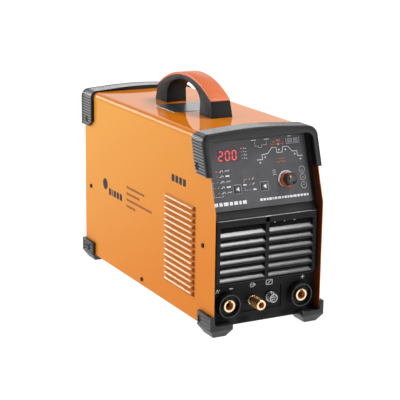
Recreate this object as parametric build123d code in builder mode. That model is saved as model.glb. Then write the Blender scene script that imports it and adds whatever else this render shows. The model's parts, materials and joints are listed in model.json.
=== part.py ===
from build123d import *
from math import cos, radians, sin, tan
import os

# TIG welding inverter: folded sheet cover over a tray chassis, moulded front and rear panels,
# ribbed corner bumpers, carrying handle and four feet.
# Millimetres. Origin at the middle of the footprint on the ground; the front faces -Y, +Z is up.

os.makedirs("parts", exist_ok=True)

# ---------------------------------------------------------------- driving dimensions
CASE_W = 184.0
CASE_L = 470.0
CASE_H = 284.0
FOOT_H = 12.0
SHEET = 1.2
FOLD_R = 10.0
FIT = 0.1              # gap between pieces that are fastened together
RUN = 0.3              # gap around pieces that move

BASE_Z = FOOT_H
TOP_Z = BASE_Z + CASE_H
FRONT_Y = -CASE_L / 2
REAR_Y = CASE_L / 2
INNER_X = CASE_W / 2 - SHEET

RECESS = 18.0          # front and rear panels sit this far inside the cover
WALL = 3.0
FACE_Y = FRONT_Y + RECESS
BACK_Y = REAR_Y - RECESS
PANEL_X = INNER_X - 0.2

KNEE_Z = BASE_Z + 176.4
RAKE = 17.8            # lean of the control panel, degrees from vertical
RAKE_SIN = sin(radians(RAKE))
RAKE_COS = cos(radians(RAKE))
PANEL_RECESS = 17.0
PANEL_TOP = 108.0      # length of the raked face
OVERLAY_T = 0.6

SCREW_R = 2.0
SCREW_HOLE_R = 2.2
SCREW_HEAD_R = 3.4
SCREW_HEAD_T = 2.2
SCREW_L = 8.0

REAR_PLANE = Plane.XZ.offset(-REAR_Y)
PANEL = Plane(
    origin=(0, FRONT_Y + PANEL_RECESS, KNEE_Z),
    x_dir=(1, 0, 0),
    z_dir=(0, -RAKE_COS, RAKE_SIN),
)


# ---------------------------------------------------------------- helpers
def save(piece, name):
    """Label a finished piece and write it as its own STEP file."""
    piece.part.label = name
    export_step(piece.part, f"parts/{name}.step")


def front_plane(y):
    """Upright plane at y that looks forwards: X to the right, Z up, positive extrusions run to -Y."""
    return Plane.XZ.offset(-y)


def case_outline(width, top, radius, plane):
    """Section of the case: square at the bottom, rounded along its two upper folds."""
    with BuildSketch(plane) as outline:
        with Locations((0, (BASE_Z + top) / 2)):
            Rectangle(width, top - BASE_Z)
        fillet(outline.vertices().group_by(Axis.Y)[-1], radius)
    return outline.sketch


def side_shape(*points):
    """Closed outline in the YZ plane through the given (y, z) points."""
    with BuildSketch(Plane.YZ) as shape:
        with BuildLine():
            Polyline(*points, close=True)
        make_face()
    return shape.sketch


def raked(up, depth):
    """Point (y, z) up the raked panel and behind its outer face."""
    y = FRONT_Y + PANEL_RECESS + up * RAKE_SIN + depth * RAKE_COS
    z = KNEE_Z + up * RAKE_COS - depth * RAKE_SIN
    return (y, z)


def raked_height(y, depth):
    """Height at which the raked surface a given depth behind the face passes y."""
    up = (y - FRONT_Y - PANEL_RECESS - depth * RAKE_COS) / RAKE_SIN
    return raked(up, depth)[1]


def edge_y(z):
    """Front edge of the cover's side walls at height z."""
    return FRONT_Y + max(0.0, z - KNEE_Z) * tan(radians(RAKE))


# ---------------------------------------------------------------- fastener positions on a side wall
COVER_SCREWS = [(FRONT_Y + 35.5, BASE_Z + 122), (REAR_Y - 24.5, BASE_Z + 120), (FRONT_Y + 242, BASE_Z + 10)]
BUMPER_SCREWS = [(FRONT_Y + 48, BASE_Z + 239), (REAR_Y - 18, BASE_Z + 237)]
FOOT_SCREWS = [(FRONT_Y + 34, BASE_Z + 10), (REAR_Y - 25, BASE_Z + 10)]
GUARD_X = 97.5         # outer faces of bumpers and feet

# ---------------------------------------------------------------- cover
LOUVRE_COUNT = 15
LOUVRE_PITCH = 9.4
LOUVRE_Y = FRONT_Y + 60.5
LOUVRE_L = 99.5
LOUVRE_TOP_Z = BASE_Z + 166.5
HOOD_H = 7.5
HOOD_OUT = 4.8
HOOD_LIP = 1.4
SLOT_H = HOOD_H - 1.9
HANDLE_Y = 13.5
HANDLE_SCREW_SPAN = 78.0
HANDLE_SCREW_X = 9.0


def louvre_profiles(points, plane):
    """The same hood section repeated up both side walls; x counts outwards from the sheet."""
    with BuildSketch(plane) as profiles:
        for side in (-1, 1):
            for row in range(LOUVRE_COUNT):
                lip = LOUVRE_TOP_Z - row * LOUVRE_PITCH
                with BuildLine():
                    Polyline(*[(side * (CASE_W / 2 + out), lip + up) for out, up in points], close=True)
                make_face()
    return profiles.sketch


with BuildPart() as cover:
    extrude(case_outline(CASE_W, TOP_Z, FOLD_R, REAR_PLANE), amount=CASE_L)
    hood = [(-SHEET / 2, 0), (HOOD_OUT, 0), (HOOD_OUT, HOOD_LIP), (0, HOOD_H), (-SHEET / 2, HOOD_H)]
    extrude(louvre_profiles(hood, front_plane(LOUVRE_Y + LOUVRE_L)), amount=LOUVRE_L)
    extrude(
        case_outline(CASE_W - 2 * SHEET, TOP_Z - SHEET, FOLD_R - SHEET, REAR_PLANE),
        amount=CASE_L,
        mode=Mode.SUBTRACT,
    )
    hollow = [(-2 * SHEET, 0), (HOOD_OUT - SHEET, 0), (HOOD_OUT - SHEET, HOOD_LIP - 0.5), (0, SLOT_H),
              (-2 * SHEET, SLOT_H)]
    extrude(
        louvre_profiles(hollow, front_plane(LOUVRE_Y + LOUVRE_L - SHEET)),
        amount=LOUVRE_L - 2 * SHEET,
        mode=Mode.SUBTRACT,
    )
    extrude(
        side_shape((FRONT_Y, KNEE_Z), (edge_y(TOP_Z), TOP_Z), (FRONT_Y, TOP_Z)),
        amount=CASE_W,
        both=True,
        mode=Mode.SUBTRACT,
    )
    with BuildSketch(Plane.YZ):
        with Locations(*COVER_SCREWS, *BUMPER_SCREWS, *FOOT_SCREWS):
            Circle(SCREW_HOLE_R)
    extrude(amount=CASE_W, both=True, mode=Mode.SUBTRACT)
    with BuildSketch(Plane.XY.offset(TOP_Z - 2 * SHEET)):
        with Locations((0, HANDLE_Y)):
            with GridLocations(2 * HANDLE_SCREW_X, 2 * HANDLE_SCREW_SPAN, 2, 2):
                Circle(SCREW_HOLE_R)
    extrude(amount=3 * SHEET, mode=Mode.SUBTRACT)
save(cover, "cover")

# ---------------------------------------------------------------- chassis tray
TRAY_Y = FACE_Y + WALL + FIT
TRAY_L = 2 * -TRAY_Y
TRAY_FLANGE = 20.0

with BuildPart() as chassis_base:
    with BuildSketch(Plane.XY.offset(BASE_Z)):
        Rectangle(2 * (INNER_X - FIT), TRAY_L)
    extrude(amount=TRAY_FLANGE)
    with BuildSketch(Plane.XY.offset(BASE_Z + SHEET)):
        Rectangle(2 * (INNER_X - FIT - SHEET), TRAY_L)
    extrude(amount=TRAY_FLANGE, mode=Mode.SUBTRACT)
    with BuildSketch(Plane.YZ):
        with Locations(COVER_SCREWS[2], *FOOT_SCREWS):
            Circle(SCREW_HOLE_R)
    extrude(amount=CASE_W, both=True, mode=Mode.SUBTRACT)
    with BuildSketch(Plane.XY.offset(BASE_Z)):
        with Locations((0, -40), (0, 40)):
            with GridLocations(36, 12, 4, 4):
                SlotOverall(24, 4)
    extrude(amount=SHEET, mode=Mode.SUBTRACT)
save(chassis_base, "chassis_base")

# ---------------------------------------------------------------- sockets and connectors on the front
SOCKET_X = 62.2
SOCKET_Z = BASE_Z + 32.9
SOCKET_R = 18.2
SOCKET_SHANK_R = 14.0
SOCKET_PROUD = 14.0
SOCKET_RIM = 2.2
SOCKET_DISH = 8.5
INSERT_R = 9.2
INSERT_BORE_R = 6.5
INSERT_SET_BACK = 1.5
INSERT_BORE_L = 25.0
INSERT_L = 40.0
KEYWAY_W = 5.0
KEYWAY_H = 8.2
FRONT_NUT_T = 6.0

OUTLET_X = -18.0
TORCH_X = 15.0
CONNECTOR_Z = BASE_Z + 33.3
POCKET_X = (-35.0, 34.0)
POCKET_Z = (BASE_Z + 15.5, BASE_Z + 51.0)
POCKET_D = 2.0
POCKET_Y = FACE_Y + POCKET_D
OUTLET_SHANK_R = 5.5
TORCH_SHANK_R = 6.0

# ---------------------------------------------------------------- control panel features
DISPLAY_X = -49.0
DISPLAY_UP = 79.3
DISPLAY_W = 38.0
DISPLAY_H = 19.0
BUTTON_SIZE = 11.5
BUTTONS = {"left": (-41.5, 28.4), "right": (4.2, 28.6)}
KNOB_X = 43.4
KNOB_UP = 34.2
ENCODER_R = 3.5
LED_R = 1.0
LEDS = [(-27.0, up) for up in (87.5, 82.6, 77.8, 72.8)]
LEDS += [(-72.7, up) for up in (57.0, 49.4, 41.3, 33.3, 25.4)]
LEDS += [(-20.0, up) for up in (41.4, 33.8, 25.8)]

# ---------------------------------------------------------------- front panel moulding
GRILLE_X = 86.0
GRILLE_Z = (BASE_Z + 66.0, BASE_Z + 163.5)
GRILLE_PROUD = 12.0
GRILLE_Y = FACE_Y - GRILLE_PROUD
SHELF_Z = BASE_Z + 175.0
COLUMN_X = 41.0
COLUMN_W = 76.0
WINDOW_Z = (BASE_Z + 68.8, BASE_Z + 153.0)
BLADE_COUNT = 6
BLADE_PITCH = 13.6
BLADE_Z = BASE_Z + 71.8
GRILLE_SCREW_Z = BASE_Z + 158.0
GRILLE_SCREW_R = 4.2
LIP_OUT = 5.0
LIP_H = 9.0
FLANGE_D = 26.0
FLANGE_T = 2.5


def side_flanges(y_near):
    """Two upright returns that take the cover's side screws; y_near is their forward end."""
    with BuildSketch(Plane.XY.offset(BASE_Z + TRAY_FLANGE + 2)) as returns:
        for side in (-1, 1):
            with Locations((side * (PANEL_X - FLANGE_T / 2), y_near + FLANGE_D / 2)):
                Rectangle(FLANGE_T, FLANGE_D)
    return returns.sketch


FLANGE_H = 150.0 - TRAY_FLANGE

with BuildPart() as front_panel:
    skin = OVERLAY_T
    extrude(
        side_shape(
            (FACE_Y, BASE_Z),
            (FACE_Y - LIP_OUT, BASE_Z),
            (FACE_Y - LIP_OUT, BASE_Z + 3),
            (FACE_Y, BASE_Z + LIP_H),
            (FACE_Y, raked_height(FACE_Y, skin)),
            raked(PANEL_TOP, skin),
            raked(PANEL_TOP, skin + WALL),
            (FACE_Y + WALL, raked_height(FACE_Y + WALL, skin + WALL)),
            (FACE_Y + WALL, BASE_Z),
        ),
        amount=PANEL_X,
        both=True,
    )
    extrude(side_flanges(FACE_Y + WALL), amount=FLANGE_H)
    extrude(
        case_outline(2 * PANEL_X, TOP_Z - SHEET - 2 * FIT, FOLD_R - SHEET, REAR_PLANE),
        amount=CASE_L,
        mode=Mode.INTERSECT,
    )
    with BuildSketch(front_plane(POCKET_Y)):
        with Locations(((POCKET_X[0] + POCKET_X[1]) / 2, (POCKET_Z[0] + POCKET_Z[1]) / 2)):
            Rectangle(POCKET_X[1] - POCKET_X[0], POCKET_Z[1] - POCKET_Z[0])
    extrude(amount=POCKET_D, mode=Mode.SUBTRACT)
    with BuildSketch(front_plane(FACE_Y + WALL)):
        with Locations((-SOCKET_X, SOCKET_Z), (SOCKET_X, SOCKET_Z)):
            Circle(SOCKET_SHANK_R + FIT)
        with Locations((OUTLET_X, CONNECTOR_Z)):
            Circle(OUTLET_SHANK_R + FIT)
        with Locations((TORCH_X, CONNECTOR_Z)):
            Circle(TORCH_SHANK_R + FIT)
        with Locations((-COLUMN_X, sum(WINDOW_Z) / 2), (COLUMN_X, sum(WINDOW_Z) / 2)):
            Rectangle(COLUMN_W, WINDOW_Z[1] - WINDOW_Z[0])
        with Locations((0, GRILLE_SCREW_Z)):
            Circle(SCREW_HOLE_R)
    extrude(amount=WALL, mode=Mode.SUBTRACT)
    with BuildSketch(PANEL.offset(-OVERLAY_T)):
        with Locations((DISPLAY_X, DISPLAY_UP)):
            Rectangle(DISPLAY_W - 2, DISPLAY_H - 2)
        with Locations(*BUTTONS.values()):
            Rectangle(BUTTON_SIZE + 2 * RUN, BUTTON_SIZE + 2 * RUN)
        with Locations((KNOB_X, KNOB_UP)):
            Circle(ENCODER_R + FIT)
        with Locations(*LEDS):
            Circle(LED_R + FIT)
    extrude(amount=-(WALL + FIT), mode=Mode.SUBTRACT)
    with BuildSketch(Plane.YZ):
        with Locations(COVER_SCREWS[0]):
            Circle(SCREW_HOLE_R)
    extrude(amount=CASE_W, both=True, mode=Mode.SUBTRACT)
save(front_panel, "front_panel")

# ---------------------------------------------------------------- front grille
BLADE_SECTION = [(0, -3), (0, 0), (4.5, 3.8), (8.5, 9.5), (10.2, 9.5), (6.0, 2.8), (2.0, -0.6), (2.0, -3)]


def blade_rows(x_from, width):
    """Louvre blades of one column, sloping down and outwards to a thick front lip."""
    with BuildSketch(Plane.YZ.offset(x_from)) as rows:
        for row in range(BLADE_COUNT):
            lip = BLADE_Z + row * BLADE_PITCH
            with BuildLine():
                Polyline(*[(GRILLE_Y + back, lip + up) for back, up in BLADE_SECTION], close=True)
            make_face()
    return rows.sketch


with BuildPart() as front_grille:
    with BuildSketch(front_plane(FACE_Y)) as plate:
        with BuildLine():
            Line((-GRILLE_X, GRILLE_Z[0]), (GRILLE_X, GRILLE_Z[0]))
            Line((GRILLE_X, GRILLE_Z[0]), (GRILLE_X, SHELF_Z - 1.5))
            ThreePointArc((GRILLE_X, SHELF_Z - 1.5), (0, SHELF_Z), (-GRILLE_X, SHELF_Z - 1.5))
            Line((-GRILLE_X, SHELF_Z - 1.5), (-GRILLE_X, GRILLE_Z[0]))
        make_face()
        chamfer(plate.vertices().group_by(Axis.Y)[0], 4.5)
    extrude(amount=GRILLE_PROUD)
    with BuildSketch(Plane.YZ) as shelf:
        with BuildLine():
            Line((GRILLE_Y, GRILLE_Z[1]), (GRILLE_Y, SHELF_Z))
            Line((GRILLE_Y, SHELF_Z), (FACE_Y, SHELF_Z))
            ThreePointArc((FACE_Y, SHELF_Z), (FACE_Y - 6.5, SHELF_Z - 7.5), (GRILLE_Y, GRILLE_Z[1]))
        make_face()
    extrude(amount=CASE_W, both=True, mode=Mode.SUBTRACT)
    with BuildSketch(front_plane(FACE_Y)):
        with Locations((-COLUMN_X, sum(WINDOW_Z) / 2), (COLUMN_X, sum(WINDOW_Z) / 2)):
            Rectangle(COLUMN_W, WINDOW_Z[1] - WINDOW_Z[0])
    extrude(amount=GRILLE_PROUD, mode=Mode.SUBTRACT)
    for x_from in (-COLUMN_X - COLUMN_W / 2, COLUMN_X - COLUMN_W / 2):
        extrude(blade_rows(x_from, COLUMN_W), amount=COLUMN_W)
    with BuildSketch(front_plane(FACE_Y)):
        with Locations((0, GRILLE_SCREW_Z)):
            Circle(SCREW_HOLE_R)
    extrude(amount=GRILLE_PROUD, mode=Mode.SUBTRACT)
    with BuildSketch(front_plane(FACE_Y - 4)):
        with Locations((0, GRILLE_SCREW_Z)):
            Circle(GRILLE_SCREW_R)
    extrude(amount=GRILLE_PROUD, mode=Mode.SUBTRACT)
save(front_grille, "front_grille")

with BuildPart() as grille_screw:
    with BuildSketch(front_plane(FACE_Y - 4)):
        with Locations((0, GRILLE_SCREW_Z)):
            Circle(SCREW_HEAD_R)
    extrude(amount=SCREW_HEAD_T)
    with BuildSketch(front_plane(FACE_Y - 4)):
        with Locations((0, GRILLE_SCREW_Z)):
            Circle(SCREW_R)
    extrude(amount=-12)
    with BuildSketch(front_plane(FACE_Y - 4 - SCREW_HEAD_T)):
        with Locations((0, GRILLE_SCREW_Z)):
            Rectangle(4, 0.9)
            Rectangle(0.9, 4)
    extrude(amount=-1, mode=Mode.SUBTRACT)
save(grille_screw, "grille_screw")

# ---------------------------------------------------------------- control panel: overlay, display, lamps
OVERLAY_X = 84.0
OVERLAY_UP = (-1.5, 105.0)
WINDOW_T = 1.6
BOARD_DEPTH = 14.0
BOARD_T = 1.6
PANEL_BACK = OVERLAY_T + WALL
BOARD_W = 160.0
BOARD_UP = 88.0
BOARD_MID = 54.0
STANDOFF_R = 3.0
STANDOFF_EDGE = 4.0
LAMP_PROUD = 0.2
MODULE_GAP = 0.5

with BuildPart() as control_overlay:
    with BuildSketch(PANEL.offset(-OVERLAY_T)) as sheet:
        with Locations((0, sum(OVERLAY_UP) / 2)):
            Rectangle(2 * OVERLAY_X, OVERLAY_UP[1] - OVERLAY_UP[0])
        fillet(sheet.vertices(), 3)
        with Locations((DISPLAY_X, DISPLAY_UP)):
            Rectangle(DISPLAY_W, DISPLAY_H, mode=Mode.SUBTRACT)
        with Locations(*BUTTONS.values()):
            Rectangle(BUTTON_SIZE + 2 * RUN, BUTTON_SIZE + 2 * RUN, mode=Mode.SUBTRACT)
        with Locations((KNOB_X, KNOB_UP)):
            Circle(ENCODER_R + FIT, mode=Mode.SUBTRACT)
        with Locations(*LEDS):
            Circle(LED_R + FIT, mode=Mode.SUBTRACT)
    extrude(amount=OVERLAY_T)
save(control_overlay, "control_overlay")

with BuildPart() as display_window:
    with BuildSketch(PANEL.offset(-OVERLAY_T)):
        with Locations((DISPLAY_X, DISPLAY_UP)):
            Rectangle(DISPLAY_W - 2 * FIT, DISPLAY_H - 2 * FIT)
    extrude(amount=OVERLAY_T)
save(display_window, "display_window")

with BuildPart() as display_module:
    with BuildSketch(PANEL.offset(-OVERLAY_T - MODULE_GAP)):
        with Locations((DISPLAY_X, DISPLAY_UP)):
            Rectangle(DISPLAY_W - 2.4, DISPLAY_H - 2.4)
    extrude(amount=-(BOARD_DEPTH - OVERLAY_T - MODULE_GAP))
save(display_module, "display_module")

with BuildPart() as indicator_leds:
    with BuildSketch(PANEL.offset(-BOARD_DEPTH)):
        with Locations(*LEDS):
            Circle(LED_R)
    extrude(amount=BOARD_DEPTH + LAMP_PROUD)
save(indicator_leds, "indicator_leds")

with BuildPart() as control_board:
    with BuildSketch(PANEL.offset(-BOARD_DEPTH)):
        with Locations((0, BOARD_MID)):
            Rectangle(BOARD_W, BOARD_UP)
        with Locations((KNOB_X, KNOB_UP)):
            Circle(ENCODER_R + FIT, mode=Mode.SUBTRACT)
    extrude(amount=-BOARD_T)
    with BuildSketch(PANEL.offset(-BOARD_DEPTH)):
        with Locations((0, BOARD_MID)):
            with GridLocations(BOARD_W - 2 * STANDOFF_EDGE, BOARD_UP - 2 * STANDOFF_EDGE, 2, 2):
                Circle(STANDOFF_R)
    extrude(amount=BOARD_DEPTH - PANEL_BACK)
save(control_board, "control_board")

# ---------------------------------------------------------------- selector buttons
BUTTON_PROUD = 1.8
BUTTON_TRAVEL = 1.2
BUTTON_DEPTH = 7.0

for side, (x, up) in BUTTONS.items():
    with BuildPart() as button:
        with BuildSketch(PANEL.offset(-BUTTON_DEPTH)) as cap:
            with Locations((x, up)):
                Rectangle(BUTTON_SIZE, BUTTON_SIZE)
            fillet(cap.vertices(), 1.2)
        extrude(amount=BUTTON_DEPTH + BUTTON_PROUD)
        chamfer(button.faces().sort_by(Axis.Y)[0].edges(), 0.5)
    save(button, f"button_{side}")

with BuildPart() as button_switches:
    with BuildSketch(PANEL.offset(-BOARD_DEPTH)):
        with Locations(*BUTTONS.values()):
            Rectangle(9, 9)
    extrude(amount=BOARD_DEPTH - BUTTON_DEPTH - BUTTON_TRAVEL - RUN)
save(button_switches, "button_switches")

# ---------------------------------------------------------------- encoder and knob
SHAFT_R = 3.0
SHAFT_TOP = 13.5
SHAFT_DEPTH = 9.5
SHAFT_POCKET = 10.0
ENCODER_BODY = 12.5
SKIRT_R = 11.0
SKIRT_H = 6.0
SKIRT_GAP = 0.6
CAP_R = 8.6
CAP_TOP = 17.0
FLUTES = 12
FLUTE_R = 1.5
FLUTE_OUT = 0.9
DOT_R = 1.0
DOT_UP = 5.2
DOT_D = 0.4

with BuildPart() as encoder_body:
    with BuildSketch(PANEL.offset(-PANEL_BACK)):
        with Locations((KNOB_X, KNOB_UP)):
            Rectangle(ENCODER_BODY, ENCODER_BODY)
    extrude(amount=-(BOARD_DEPTH - PANEL_BACK))
    with BuildSketch(PANEL.offset(-PANEL_BACK)):
        with Locations((KNOB_X, KNOB_UP)):
            Circle(ENCODER_R)
    extrude(amount=PANEL_BACK)
    with BuildSketch(PANEL):
        with Locations((KNOB_X, KNOB_UP)):
            Circle(SHAFT_R + 0.05)
    extrude(amount=-SHAFT_POCKET, mode=Mode.SUBTRACT)
save(encoder_body, "encoder_body")

with BuildPart() as knob_shaft:
    with BuildSketch(PANEL.offset(-SHAFT_DEPTH)):
        with Locations((KNOB_X, KNOB_UP)):
            Circle(SHAFT_R)
    extrude(amount=SHAFT_DEPTH + SHAFT_TOP)
save(knob_shaft, "knob_shaft")

with BuildPart() as knob_skirt:
    with BuildSketch(PANEL.offset(SKIRT_GAP)):
        with Locations((KNOB_X, KNOB_UP)):
            Circle(SKIRT_R)
            Circle(SHAFT_R, mode=Mode.SUBTRACT)
    extrude(amount=SKIRT_H)
    fillet(knob_skirt.edges().filter_by(GeomType.CIRCLE).sort_by(SortBy.RADIUS)[-2:], 0.6)
save(knob_skirt, "knob_skirt")

with BuildPart() as knob_cap:
    with BuildSketch(PANEL.offset(SKIRT_GAP + SKIRT_H)):
        with Locations((KNOB_X, KNOB_UP)):
            Circle(CAP_R)
            with PolarLocations(CAP_R + FLUTE_OUT, FLUTES):
                Circle(FLUTE_R, mode=Mode.SUBTRACT)
    extrude(amount=CAP_TOP - SKIRT_GAP - SKIRT_H)
    with BuildSketch(PANEL.offset(SKIRT_GAP + SKIRT_H)):
        with Locations((KNOB_X, KNOB_UP)):
            Circle(SHAFT_R)
    extrude(amount=SHAFT_TOP - SKIRT_GAP - SKIRT_H, mode=Mode.SUBTRACT)
    with BuildSketch(PANEL.offset(CAP_TOP)):
        with Locations((KNOB_X, KNOB_UP + DOT_UP)):
            Circle(DOT_R)
    extrude(amount=-DOT_D, mode=Mode.SUBTRACT)
save(knob_cap, "knob_cap")

# ---------------------------------------------------------------- ribbed bumpers
BUMPER_Z = BASE_Z + 228.0
BUMPER_SHOULDER = BASE_Z + 285.4
BUMPER_CROWN = BASE_Z + 292.0
BUMPER_CORNER = 13.0
CROWN_R = 700.0
RIB_PITCH = 6.3
RIB_DEPTH = 1.2
RIB_CREST = 0.55         # share of the pitch taken by a rib's flat crest
RIB_ROOT = 0.78
OPENING_R = 6.0
LIP_T = 2.2            # the lip stands this far beyond the cover's edge
LIP_BAND = 6.0
OPENING_X = 88.5
OPENING_Z = BASE_Z + 277.0
COUNTERBORE_R = 4.6
COUNTERBORE_D = 2.8


def bumper_section(bottom, plane, ribbed):
    """Outer section of a bumper, either smooth or with grooves cut between flat-topped ribs."""
    with BuildSketch(plane) as section:
        with BuildLine():
            path = FilletPolyline(
                (-GUARD_X, bottom),
                (-GUARD_X, BUMPER_SHOULDER),
                (0, BUMPER_CROWN),
                (GUARD_X, BUMPER_SHOULDER),
                (GUARD_X, bottom),
                radius=[BUMPER_CORNER, CROWN_R, BUMPER_CORNER],
                mode=Mode.PRIVATE,
            )
            if ribbed:
                ribs = round(path.length / RIB_PITCH)
                points = []
                for rib in range(ribs):
                    points += [path @ (rib / ribs), path @ ((rib + RIB_CREST) / ribs)]
                    root = (rib + RIB_ROOT) / ribs
                    tangent = path % root
                    points.append(path @ root + Vector(tangent.Y, -tangent.X) * RIB_DEPTH)
                Polyline(*points, path @ 1, close=True)
            else:
                add(path)
                Line(path @ 1, path @ 0)
        make_face()
    return section.sketch


def band(bottom, zone, ribbed):
    """Length of bumper bounded by a zone drawn in the YZ plane."""
    with BuildPart() as length:
        extrude(bumper_section(bottom, REAR_PLANE.offset(-10), ribbed), amount=CASE_L + 20)
        extrude(side_shape(*zone), amount=GUARD_X + 1, both=True, mode=Mode.INTERSECT)
    return length.part


def lip_line(z, ahead):
    """Point on a line parallel to the cover's raked front edge, a distance ahead of it."""
    return (FRONT_Y + (z - KNEE_Z) * tan(radians(RAKE)) - ahead, z)


HIGH_Z = BUMPER_CROWN + 5
front_lip_zone = [lip_line(BUMPER_Z, LIP_T), lip_line(BUMPER_Z, LIP_T - LIP_BAND),
                  lip_line(HIGH_Z, LIP_T - LIP_BAND), lip_line(HIGH_Z, LIP_T)]
front_rib_zone = [lip_line(BUMPER_Z, LIP_T - LIP_BAND), (FRONT_Y + 50, BUMPER_Z),
                  (FRONT_Y + 57, BUMPER_Z + 8), (FRONT_Y + 68, BASE_Z + 275), (FRONT_Y + 73, HIGH_Z),
                  lip_line(HIGH_Z, LIP_T - LIP_BAND)]

front_lip = band(BUMPER_Z, front_lip_zone, False)
front_ribs = band(BUMPER_Z, front_rib_zone, True)

with BuildPart() as raked_case:
    extrude(case_outline(CASE_W + 2 * FIT, TOP_Z + FIT, FOLD_R, REAR_PLANE), amount=CASE_L)
    extrude(
        side_shape((FRONT_Y - FIT, BASE_Z), lip_line(KNEE_Z, FIT), lip_line(TOP_Z + 1, FIT),
                   (FRONT_Y - 1, TOP_Z + 1), (FRONT_Y - 1, BASE_Z)),
        amount=CASE_W,
        both=True,
        mode=Mode.SUBTRACT,
    )

with BuildPart() as front_bumper:
    add(front_lip)
    add(front_ribs)
    add(raked_case.part, mode=Mode.SUBTRACT)
    extrude(
        case_outline(2 * OPENING_X, OPENING_Z, OPENING_R, REAR_PLANE),
        amount=CASE_L + 10,
        mode=Mode.SUBTRACT,
    )
    with BuildSketch(Plane.YZ):
        with Locations(BUMPER_SCREWS[0]):
            Circle(SCREW_HOLE_R)
    extrude(amount=GUARD_X + 1, both=True, mode=Mode.SUBTRACT)
    for side in (-1, 1):
        with BuildSketch(Plane.YZ.offset(side * (GUARD_X - COUNTERBORE_D))):
            with Locations(BUMPER_SCREWS[0]):
                Circle(COUNTERBORE_R)
        extrude(amount=side * 5, mode=Mode.SUBTRACT)
save(front_bumper, "front_bumper")

REAR_END = REAR_Y + 5.5
REAR_BUMPER_Z = BASE_Z + 226.0
rear_lip_zone = [(REAR_END - LIP_BAND, REAR_BUMPER_Z), (REAR_END, REAR_BUMPER_Z), (REAR_END, HIGH_Z),
                 (REAR_END - LIP_BAND, HIGH_Z)]
rear_rib_zone = [(REAR_Y - 25, REAR_BUMPER_Z), (REAR_END - LIP_BAND, REAR_BUMPER_Z),
                 (REAR_END - LIP_BAND, HIGH_Z), (REAR_Y - 30, HIGH_Z), (REAR_Y - 37, BASE_Z + 272),
                 (REAR_Y - 38, REAR_BUMPER_Z + 9)]

rear_lip = band(REAR_BUMPER_Z, rear_lip_zone, False)
rear_ribs = band(REAR_BUMPER_Z, rear_rib_zone, True)

with BuildPart() as rear_bumper:
    add(rear_lip)
    add(rear_ribs)
    extrude(
        case_outline(CASE_W + 2 * FIT, TOP_Z + FIT, FOLD_R, REAR_PLANE.offset(-FIT)),
        amount=CASE_L,
        mode=Mode.SUBTRACT,
    )
    extrude(
        case_outline(2 * OPENING_X, OPENING_Z, OPENING_R, REAR_PLANE.offset(-10)),
        amount=CASE_L,
        mode=Mode.SUBTRACT,
    )
    with BuildSketch(Plane.YZ):
        with Locations(BUMPER_SCREWS[1]):
            Circle(SCREW_HOLE_R)
    extrude(amount=GUARD_X + 1, both=True, mode=Mode.SUBTRACT)
    for side in (-1, 1):
        with BuildSketch(Plane.YZ.offset(side * (GUARD_X - COUNTERBORE_D))):
            with Locations(BUMPER_SCREWS[1]):
                Circle(COUNTERBORE_R)
        extrude(amount=side * 5, mode=Mode.SUBTRACT)
save(rear_bumper, "rear_bumper")

# ---------------------------------------------------------------- feet
FOOT_X = 60.5
FOOT_AHEAD = 3.0
FOOT_L = 44.0
FOOT_TAPER = 8.0
GUARD_TOP = BASE_Z + 22.0
LEDGE_TOP = BASE_Z + 7.5
POST_W = 6.2
LEDGE_D = RECESS - LIP_OUT - FIT
FOOT_W = GUARD_X - FOOT_X


def foot(screw_y):
    """Front right foot: tapered block, side guard, corner post and ledge in front of the case."""
    front = FRONT_Y - FOOT_AHEAD
    with BuildPart() as block:
        with BuildSketch(Plane.XY.offset(BASE_Z)):
            with Locations((FOOT_X + FOOT_W / 2, front + FOOT_L / 2)):
                Rectangle(FOOT_W, FOOT_L)
        with BuildSketch(Plane.XY):
            with Locations((FOOT_X + FOOT_W / 2, front + FOOT_L / 2)):
                Rectangle(FOOT_W - 2 * FOOT_TAPER, FOOT_L - 2 * FOOT_TAPER)
        loft()
        with BuildSketch(Plane.XY.offset(BASE_Z)):
            with Locations(((CASE_W / 2 + FIT + GUARD_X) / 2, front + FOOT_L / 2)):
                Rectangle(GUARD_X - CASE_W / 2 - FIT, FOOT_L)
        extrude(amount=GUARD_TOP - BASE_Z)
        with BuildSketch(Plane.XY.offset(BASE_Z)):
            with Locations(((FOOT_X + PANEL_X) / 2, front + (FOOT_AHEAD + LEDGE_D) / 2)):
                Rectangle(PANEL_X - FOOT_X, FOOT_AHEAD + LEDGE_D)
        extrude(amount=LEDGE_TOP - BASE_Z)
        with BuildSketch(front_plane(FRONT_Y - FIT)) as corner:
            with BuildLine():
                inner = GUARD_X - POST_W
                Polyline((inner - 5, LEDGE_TOP), (FOOT_X, LEDGE_TOP), (FOOT_X, BASE_Z), (GUARD_X, BASE_Z),
                         (GUARD_X, GUARD_TOP), (inner, GUARD_TOP), (inner, LEDGE_TOP + 5))
                ThreePointArc((inner, LEDGE_TOP + 5), (inner - 1.5, LEDGE_TOP + 1.5), (inner - 5, LEDGE_TOP))
            make_face()
        extrude(amount=FOOT_AHEAD - FIT)
        for groove in range(3):
            z = BASE_Z + 3.5 + groove * 6
            with BuildSketch(front_plane(FRONT_Y + 3)):
                with BuildLine():
                    Polyline((GUARD_X, z - 1.4), (GUARD_X, z + 1.4), (GUARD_X - 1.2, z), close=True)
                make_face()
            extrude(amount=-FOOT_L, mode=Mode.SUBTRACT)
        with BuildSketch(Plane.YZ.offset(CASE_W / 2)):
            with Locations((screw_y, FOOT_SCREWS[0][1])):
                Circle(SCREW_HOLE_R)
        extrude(amount=10, mode=Mode.SUBTRACT)
        with BuildSketch(Plane.YZ.offset(GUARD_X - COUNTERBORE_D)):
            with Locations((screw_y, FOOT_SCREWS[0][1])):
                Circle(COUNTERBORE_R)
        extrude(amount=10, mode=Mode.SUBTRACT)
    return block.part


front_foot = foot(FOOT_SCREWS[0][0])
rear_foot = foot(-FOOT_SCREWS[1][0])

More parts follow.
